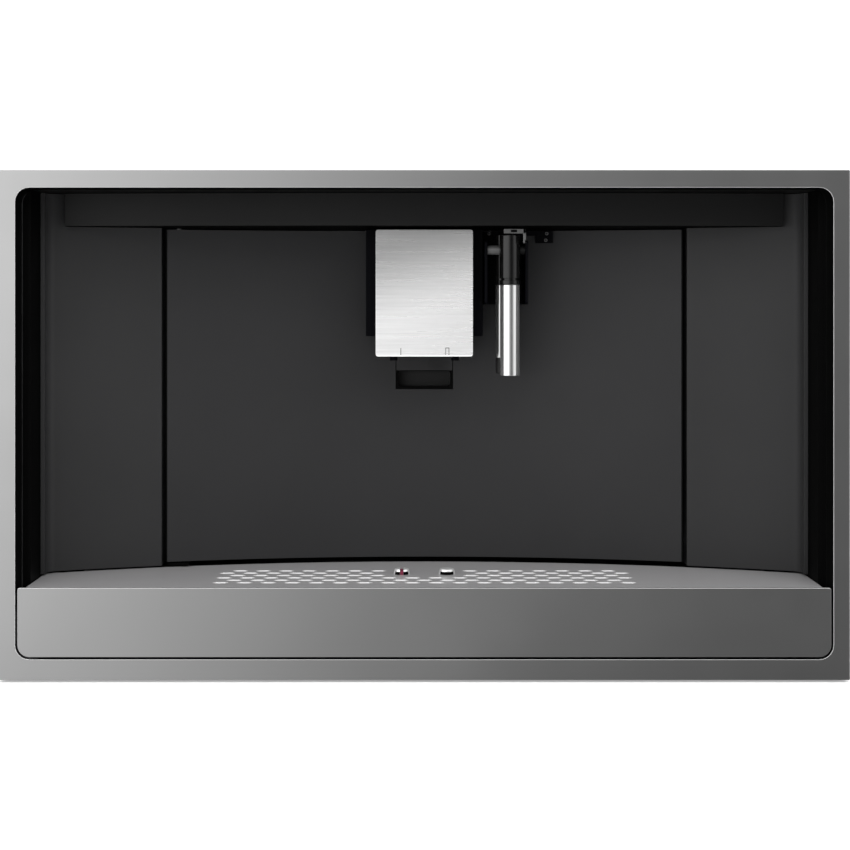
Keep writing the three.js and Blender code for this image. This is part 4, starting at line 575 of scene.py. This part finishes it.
def rodAlongX(bm, left, right, y, z, radius, steps=32):
    made = bmesh.ops.create_cone(
        bm, cap_ends=True, segments=steps, radius1=radius, radius2=radius,
        depth=right - left)["verts"]
    turn = Matrix.Rotation(math.radians(90), 3, "Y")
    bmesh.ops.rotate(bm, verts=made, cent=(0, 0, 0), matrix=turn)
    bmesh.ops.translate(bm, verts=made, vec=((left + right) / 2, y, z))


# nozzle: glossy body with a ring, chrome sleeve, steam pipe behind and tilting pin
nozzle = {
    "edge": 1.2 * mm, "neckDrop": 1.2 * mm, "ring": 3.2 * mm, "steamRadius": 4.7 * mm,
    "wall": 1.2 * mm, "radius": 7.7 * mm, "sleeveRadius": 7.25 * mm, "knobRadius": 3.5 * mm,
    "pinRadius": 1.8 * mm, "gap": 0.3 * mm, "chamfer": 0.25 * mm, "tip": 12 * mm,
    "tipEdge": 1.0 * mm, "axisBack": 4 * mm, "axisDrop": 11.4 * mm, "knobInset": 2 * mm,
    "knobReach": 5 * mm, "pipeSteps": 48,
}


def makeNozzle():
    n = nozzle
    bodyLow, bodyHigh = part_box("nozzle_body")
    sleeveLow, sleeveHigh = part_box("nozzle_sleeve")
    x = sleeveHigh.x - n["sleeveRadius"]
    y = bodyLow.y + n["radius"]
    steamX = sleeveLow.x + n["steamRadius"]
    steamY = sleeveHigh.y - n["steamRadius"]
    top, ringLow = bodyHigh.z, sleeveHigh.z + n["gap"]
    neckLow = ringLow + n["ring"]
    neckHigh = neckLow + n["neckDrop"]
    spigot = n["sleeveRadius"] - n["wall"] - n["gap"]
    r, e, s = n["radius"], n["edge"], n["chamfer"]
    m = cornerMiddle * e
    bm = bmesh.new()
    turnProfile(bm, x, y, [
        (0, bodyLow.z), (spigot, bodyLow.z), (spigot, ringLow), (r - s, ringLow), (r, ringLow + s),
        (r, neckLow - s), (r - s, neckLow), (r - e, neckLow), (r - e, neckHigh), (r - s, neckHigh),
        (r, neckHigh + s), (r, top - e), (r - m, top - m), (r - e, top), (0, top)])
    body = finishPiece("nozzleBody", bm, "glossBlack", "nozzle")

    outer = n["sleeveRadius"]
    inner = outer - n["wall"]
    bm = bmesh.new()
    turnProfile(bm, x, y, [
        (inner, sleeveHigh.z), (outer - s, sleeveHigh.z), (outer, sleeveHigh.z - s),
        (outer, sleeveLow.z + s), (outer - s, sleeveLow.z), (inner, sleeveLow.z),
        (inner, sleeveHigh.z)])
    sleeve = finishPiece("nozzleSleeve", bm, "chrome", "nozzle")

    p, foot = n["steamRadius"], sleeveLow.z + n["wall"]
    tipHigh = foot + n["tip"]
    bm = bmesh.new()
    turnProfile(bm, steamX, steamY, [
        (0, tipHigh), (p, tipHigh), (p, sleeveHigh.z - s), (p - s, sleeveHigh.z),
        (0, sleeveHigh.z)], n["pipeSteps"])
    pipe = finishPiece("steamPipe", bm, "pipeSteel", "nozzle")

    t = n["tipEdge"]
    bm = bmesh.new()
    turnProfile(bm, steamX, steamY, [
        (0, foot), (p - t, foot), (p - s, foot + t), (p - s, tipHigh - s), (0, tipHigh - s)],
        n["pipeSteps"])
    tip = finishPiece("steamTip", bm, "blackSheet", "nozzle")

    bm = bmesh.new()
    turnProfile(bm, steamX, steamY, [
        (0, ringLow), (p, ringLow), (p, top - s), (p - s, top), (0, top)], n["pipeSteps"])
    neck = finishPiece("steamNeck", bm, "glossBlack", "nozzle")

    axisY = y + n["axisBack"]
    axisZ = top - n["axisDrop"]
    left, right = bodyLow.x + n["knobInset"], bodyHigh.x - n["knobInset"]
    bm = bmesh.new()
    rodAlongX(bm, left, x - n["knobReach"], axisY, axisZ, n["knobRadius"])
    knob = finishPiece("tiltKnob", bm, "bracketGrey", "nozzle")

    bm = bmesh.new()
    rodAlongX(bm, x + n["knobReach"], right, axisY, axisZ, n["knobRadius"])
    rodAlongX(bm, bodyLow.x, bodyHigh.x, axisY, axisZ, n["pinRadius"])
    pin = finishPiece("tiltPin", bm, "mouldedBlack", "nozzle")
    for piece in (body, tip, neck, knob, pin):
        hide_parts("nozzle_body")
    for piece in (sleeve, pipe):
        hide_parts("nozzle_sleeve")


makeNozzle()


# light metal bracket in front of the nozzle's head, its slot a black patch as painted shade
bracket = {
    "front": -129.2 * mm, "thick": 1.0 * mm, "left": 58.8 * mm, "right": 75.1 * mm,
    "top": 320.2 * mm, "armHeight": 3.3 * mm, "legWidth": 2.0 * mm, "legFoot": 309.9 * mm,
    "webBack": -104.0 * mm, "webHeight": 2.2 * mm, "bevel": 0.15 * mm,
}
bracketSlot = {
    "left": 63.9 * mm, "right": 68.6 * mm, "above": 0.8 * mm, "below": 0.6 * mm,
    "proud": 0.05 * mm, "depth": 0.3 * mm, "bevel": 0.1 * mm,
}


def makeBracket():
    b, slot = bracket, bracketSlot
    back = b["front"] + b["thick"]
    boxPiece("nozzleBracket", [
        ((b["left"], b["front"], b["top"] - b["armHeight"]), (b["right"], back, b["top"])),
        ((b["right"] - b["legWidth"], b["front"], b["legFoot"]), (b["right"], back, b["top"])),
        ((b["right"] - b["thick"], b["front"], b["legFoot"]),
         (b["right"], b["webBack"], b["legFoot"] + b["webHeight"])),
    ], "bracketGrey", "door", b["bevel"])
    boxPiece("bracketSlot", [
        ((slot["left"], b["front"] - slot["proud"], b["top"] - b["armHeight"] + slot["above"]),
         (slot["right"], b["front"] + slot["depth"], b["top"] - slot["below"])),
    ], "gapBlack", "door", slot["bevel"])


makeBracket()


# screw heads with a black cross as painted shade for the recess; crown and bars are shares of the
# head's radius
screwHead = {"steps": 20, "crown": 0.82, "barLength": 1.3, "barWidth": 0.3,
             "barDepth": 0.06 * mm, "sunk": 0.05 * mm, "smooth": 30}


# one head, its axis along the given direction
def addScrew(bm, place, outward, radius, rise):
    head = screwHead
    made = bmesh.ops.create_cone(
        bm, cap_ends=True, segments=head["steps"], radius1=radius,
        radius2=head["crown"] * radius, depth=rise)["verts"]
    cross = []
    long, wide = head["barLength"] * radius, head["barWidth"] * radius
    for size in ((long, wide), (wide, long)):
        bar = bmesh.ops.create_cube(bm, size=1)["verts"]
        bmesh.ops.scale(bm, vec=(*size, head["barDepth"]), verts=bar)
        bmesh.ops.translate(bm, vec=(0, 0, rise / 2), verts=bar)
        cross += bar
        for face in {f for v in bar for f in v.link_faces}:
            face.material_index = 1
    turn = Vector((0, 0, 1)).rotation_difference(Vector(outward)).to_matrix()
    bmesh.ops.rotate(bm, verts=made + cross, cent=(0, 0, 0), matrix=turn)
    bmesh.ops.translate(
        bm, verts=made + cross,
        vec=Vector(place) + Vector(outward) * (rise / 2 - head["sunk"]))


def screwPiece(name, places, radius, rise, body, finish="screwSteel"):
    bm = bmesh.new()
    for place, outward in places:
        addScrew(bm, place, outward, radius, rise)
    finishPiece(name, bm, [finish, "gapBlack"], body, screwHead["smooth"])


# the arc that door and wall panels follow
wallArc = {"radius": 758 * mm, "deepest": -79 * mm}


def wallAt(x):
    radius = wallArc["radius"]
    return wallArc["deepest"] - radius + math.sqrt(radius ** 2 - x ** 2)


# nozzle carrier: small screws near its upper edge, as (across, down) places
carrier = {"radius": 1.4 * mm, "rise": 0.8 * mm, "proud": 2.8 * mm, "screws": [
    (49.6 * mm, 1.9 * mm), (93.6 * mm, 2.0 * mm), (92.9 * mm, 7.0 * mm)]}


def makeCarrierScrews():
    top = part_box("nozzle_carrier")[1].z
    places = [
        ((x, wallAt(x) - carrier["proud"], top - down), (0, -1, 0))
        for x, down in carrier["screws"]
    ]
    screwPiece(
        "carrierScrews", places, carrier["radius"], carrier["rise"], "door",
        "bracketGrey")


makeCarrierScrews()


# two studs on the cup plate: bright caps over black bands, painted shadow at their feet
# the left one is split by the float's flag
stud = {"radius": 6.0 * mm, "taper": 0.7 * mm, "rise": 3.9 * mm, "edge": 0.6 * mm,
        "spacing": 16.6 * mm, "depth": 58.5 * mm, "slot": 2.8 * mm, "black": 2.3 * mm,
        "rim": 1.1 * mm, "lift": 0.02 * mm, "footWall": 0.6 * mm, "coreRise": 3 * mm,
        "upright": 0.5}
plateTop = plateHigh.z - stud["coreRise"]


def makeStud(name, x, slotted):
    t = stud
    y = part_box("tray_front")[0].y + t["depth"]
    foot, top = plateTop + t["lift"], plateTop + t["rise"]
    r, e = t["radius"], t["edge"]
    m = cornerMiddle * e
    crown = r - t["taper"]
    bm = bmesh.new()
    turnProfile(bm, x, y, [
        (r - t["footWall"], foot), (r, foot), (r - t["taper"] / 2, foot + t["black"]),
        (crown, top - e), (crown - m, top - m), (crown - e, top), (0, top)])
    if slotted:
        for side in (-1, 1):
            bmesh.ops.bisect_plane(
                bm, geom=bm.verts[:] + bm.edges[:] + bm.faces[:],
                plane_co=(x + side * t["slot"] / 2, 0, 0), plane_no=(side, 0, 0))
        inside = [f for f in bm.faces if abs(f.calc_center_median().x - x) < t["slot"] / 2]
        bmesh.ops.delete(bm, geom=inside, context="FACES")
    bm.normal_update()
    for face in bm.faces:
        middle = face.calc_center_median()
        low = middle.z < foot + t["black"] and abs(face.normal.z) < t["upright"]
        face.material_index = 1 if low and abs(middle.x - x) < r - t["rim"] else 0
    finishPiece(name, bm, ["studChrome", "gapBlack"], "drip_tray")


makeStud("studLeft", -stud["spacing"], True)
makeStud("studRight", stud["spacing"], False)


# spout: two thin marks above the plate's foot, the first a line and the second an arch
marks = {"places": [(-17.3 * mm, 0.28 * mm), (17.0 * mm, 0.22 * mm)], "half": 1.2 * mm,
         "foot": 0.9 * mm, "height": 5.6 * mm, "proud": 0.06 * mm, "bevel": 0.05 * mm}


def makeMarks():
    low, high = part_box("spout_plate")
    front = low.y - marks["proud"]
    for number, (x, wire) in enumerate(marks["places"]):
        foot = low.z + marks["foot"]
        top = foot + marks["height"]
        boxes = [
            ((x + side * marks["half"] - wire, front, foot),
             (x + side * marks["half"] + wire, low.y + wire, top - wire))
            for side in ((-1, 1) if number else (0,))
        ]
        if number:
            boxes.append((
                (x - marks["half"] - wire, front, top - 2 * wire),
                (x + marks["half"] + wire, low.y + wire, top)))
        boxPiece("spoutMark" + str(number + 1), boxes, "blackSheet" if number else "bracketGrey",
                 "spout", marks["bevel"])


makeMarks()


# grip: black strips round the insert in the door, painted shadow for the gap
gripShadowGap = {"width": 0.55 * mm, "proud": 0.12 * mm, "depth": 0.8 * mm, "rimDepth": 0.2 * mm,
        "bevel": 0.1 * mm}


def makeGripShadowStrips():
    low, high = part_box("grip_insert")
    w = gripShadowGap["width"]
    front = wallAt(high.x) - gripShadowGap["proud"]
    back = front + gripShadowGap["depth"]
    boxPiece("gripShadowStrips", [
        ((low.x - w, front, low.z), (low.x, back, high.z)),
        ((high.x, front, low.z), (high.x + w, back, high.z)),
        ((low.x, wallAt(0) - gripShadowGap["proud"], gripRim - w),
         (high.x, wallAt(0) + gripShadowGap["rimDepth"], gripRim)),
    ], "gapBlack", "door", gripShadowGap["bevel"])


makeGripShadowStrips()


# casing: pan-head screws round the panels, at the corners and between them
casing = {"radius": 2.6 * mm, "rise": 0.95 * mm, "inset": 9 * mm, "rearTop": 95 * mm,
          "rearFoot": (-250 * mm, -83 * mm, 83 * mm, 250 * mm), "cover": 60 * mm}


def makeCasingScrews():
    c = casing
    places = []
    for node, side in (("side_panel_left", -1), ("side_panel_right", 1)):
        low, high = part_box(node)
        x = low.x if side < 0 else high.x
        for y in (low.y + c["inset"], (low.y + high.y) / 2, high.y - c["inset"]):
            for z in (low.z + c["inset"], high.z - c["inset"]):
                places.append(((x, y, z), (side, 0, 0)))
    low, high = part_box("rear_panel")
    for x in (low.x + c["inset"], -c["rearTop"], c["rearTop"], high.x - c["inset"]):
        places.append(((x, high.y, high.z - c["inset"]), (0, 1, 0)))
    for x in c["rearFoot"]:
        places.append(((x, high.y, low.z + c["inset"]), (0, 1, 0)))
    low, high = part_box("top_cover")
    for x in (low.x + c["inset"], -c["cover"], c["cover"], high.x - c["inset"]):
        for y in (low.y + c["inset"], high.y - c["inset"]):
            places.append(((x, y, high.z), (0, 0, 1)))
    screwPiece("casingScrews", places, c["radius"], c["rise"], "machine")


makeCasingScrews()
print("new pieces done")


# stage: pale floor and backdrop, soft studio light

stage = {
    "shade": 0.9, "roughness": 0.9, "gloss": 0.1, "glow": 0.2, "floorHalf": 6.0,
    "floorZ": -0.4 * mm, "wallY": 3.0, "wallHeight": 5.0, "bend": 1.0, "bendSteps": 12,
}


def makeStageFinish():
    mat, _, shader = newMaterial("studioPaper")
    shader.inputs["Base Color"].default_value = grey(stage["shade"])
    shader.inputs["Roughness"].default_value = stage["roughness"]
    shader.inputs["Specular IOR Level"].default_value = stage["gloss"]
    shader.inputs["Emission Color"].default_value = grey(1.0)
    shader.inputs["Emission Strength"].default_value = stage["glow"]
    return mat


def makeSweep():
    bm = bmesh.new()
    half, bend = stage["floorHalf"], stage["bend"]
    first = bm.verts.new((-half, -half, stage["floorZ"]))
    last = bm.verts.new((half, -half, stage["floorZ"]))
    edge = bm.edges.new((first, last))
    out = bmesh.ops.extrude_edge_only(bm, edges=[edge])["geom"]
    bmesh.ops.translate(
        bm, vec=(0, half + stage["wallY"] - bend, 0),
        verts=[v for v in out if isinstance(v, bmesh.types.BMVert)])
    rim = [e for e in out if isinstance(e, bmesh.types.BMEdge)]
    corner = (0, stage["wallY"] - bend, stage["floorZ"] + bend)
    out = bmesh.ops.spin(
        bm, geom=rim, cent=corner, axis=(1, 0, 0), angle=math.radians(90),
        steps=stage["bendSteps"])["geom_last"]
    rim = [e for e in out if isinstance(e, bmesh.types.BMEdge)]
    out = bmesh.ops.extrude_edge_only(bm, edges=rim)["geom"]
    bmesh.ops.translate(
        bm, vec=(0, 0, stage["wallHeight"]),
        verts=[v for v in out if isinstance(v, bmesh.types.BMVert)])
    mesh = bpy.data.meshes.new("sweep")
    bm.to_mesh(mesh)
    bm.free()
    mesh.materials.append(makeStageFinish())
    mesh.shade_smooth()
    sweep = bpy.data.objects.new("sweep", mesh)
    bpy.context.scene.collection.objects.link(sweep)
    sweep.visible_glossy = False  # metal mirrors the room light instead of the paper


# lamps light without showing in any mirror image, which the room light alone gives
lightsAim = (0, 0, 0.15)
lights = {
    "keyLeft": {"at": (-1.1, -1.6, 1.3), "size": 1.2, "watts": 7},
    "fillRight": {"at": (1.1, -1.5, 1.2), "size": 1.0, "watts": 11},
    "lowLeft": {"at": (-0.7, -1.0, 0.12), "size": 0.5, "watts": 4},
    "trayLight": {"at": (0.1, -0.9, 1.1), "size": 0.8, "watts": 7},
    "overhead": {"at": (0.0, 0.3, 2.2), "size": 2.0, "watts": 12},
    "backWash": {"at": (0.0, 1.6, 1.6), "size": 1.6, "watts": 10},
}


def makeLights():
    for name, light in lights.items():
        data = bpy.data.lights.new(name, "AREA")
        data.shape = "SQUARE"
        data.size = light["size"]
        data.energy = light["watts"]
        lamp = bpy.data.objects.new(name, data)
        lamp.location = light["at"]
        ray = Vector(lightsAim) - Vector(light["at"])
        lamp.rotation_euler = ray.to_track_quat("-Z", "Y").to_euler()
        lamp.visible_glossy = False
        lamp.visible_camera = False
        bpy.context.scene.collection.objects.link(lamp)


# room light: bright on the left, dim on the right, with a bright band far right for the chrome
# each ramp holds (place, level) stops from one end of its axis to the other
room = {
    "ambient": 1.0,
    "strength": 3.15,
    "across": [(0.0, 1.0), (0.275, 0.92), (0.34, 0.84), (0.40, 0.56), (0.45, 0.31), (0.5, 0.155),
               (0.56, 0.07), (0.63, 0.025), (0.72, 0.04), (0.80, 0.32), (0.88, 0.58), (1.0, 0.58)],
    "above": [(0.0, 0.0), (0.74, 0.0), (0.88, 0.8), (1.0, 0.9)],
    "up": [(0.0, 0.35), (0.36, 0.44), (0.41, 0.595), (0.5, 0.86), (0.55, 1.0), (0.62, 0.95),
           (0.72, 0.7), (1.0, 0.6)],
}


def addRamp(tree, source, stops):
    ramp = tree.nodes.new("ShaderNodeValToRGB")
    elements = ramp.color_ramp.elements
    while len(elements) < len(stops):
        elements.new(0.5)
    for element, (place, value) in zip(elements, stops):
        element.position = place
        element.color = grey(value)
    spread = addNode(tree, "ShaderNodeMapRange", {"From Min": -1.0, "From Max": 1.0})
    tree.links.new(source, spread.inputs["Value"])
    tree.links.new(spread.outputs[0], ramp.inputs["Fac"])
    return ramp.outputs["Color"]


def makeRoomLight():
    world = bpy.data.worlds.new("studioRoom")
    bpy.context.scene.world = world
    world.use_nodes = True
    tree = world.node_tree
    ground = next(n for n in tree.nodes if n.type == "BACKGROUND")
    place = tree.nodes.new("ShaderNodeTexCoord")
    split = tree.nodes.new("ShaderNodeSeparateXYZ")
    tree.links.new(place.outputs["Generated"], split.inputs[0])
    ground.inputs["Color"].default_value = grey(1.0)
    across = addRamp(tree, split.outputs["X"], room["across"])
    above = addRamp(tree, split.outputs["Z"], room["above"])
    up = addRamp(tree, split.outputs["Z"], room["up"])
    rays = tree.nodes.new("ShaderNodeLightPath")
    mirrored = addNode(tree, "ShaderNodeMath", operation="MULTIPLY")
    mirrored.inputs[1].default_value = room["strength"]
    chosen = addNode(tree, "ShaderNodeMix", {"A": room["ambient"]}, data_type="FLOAT")
    level = addNode(tree, "ShaderNodeMath", operation="MULTIPLY")
    both = addNode(tree, "ShaderNodeMath", operation="ADD")
    tree.links.new(across, both.inputs[0])
    tree.links.new(above, both.inputs[1])
    tree.links.new(both.outputs[0], mirrored.inputs[0])
    tree.links.new(rays.outputs["Is Glossy Ray"], chosen.inputs["Factor"])
    tree.links.new(mirrored.outputs[0], chosen.inputs["B"])
    tree.links.new(chosen.outputs[0], level.inputs[0])
    tree.links.new(up, level.inputs[1])
    tree.links.new(level.outputs[0], ground.inputs["Strength"])


makeSweep()
makeLights()
makeRoomLight()
bpy.context.scene.view_settings.view_transform = "Standard"
print("stage done")
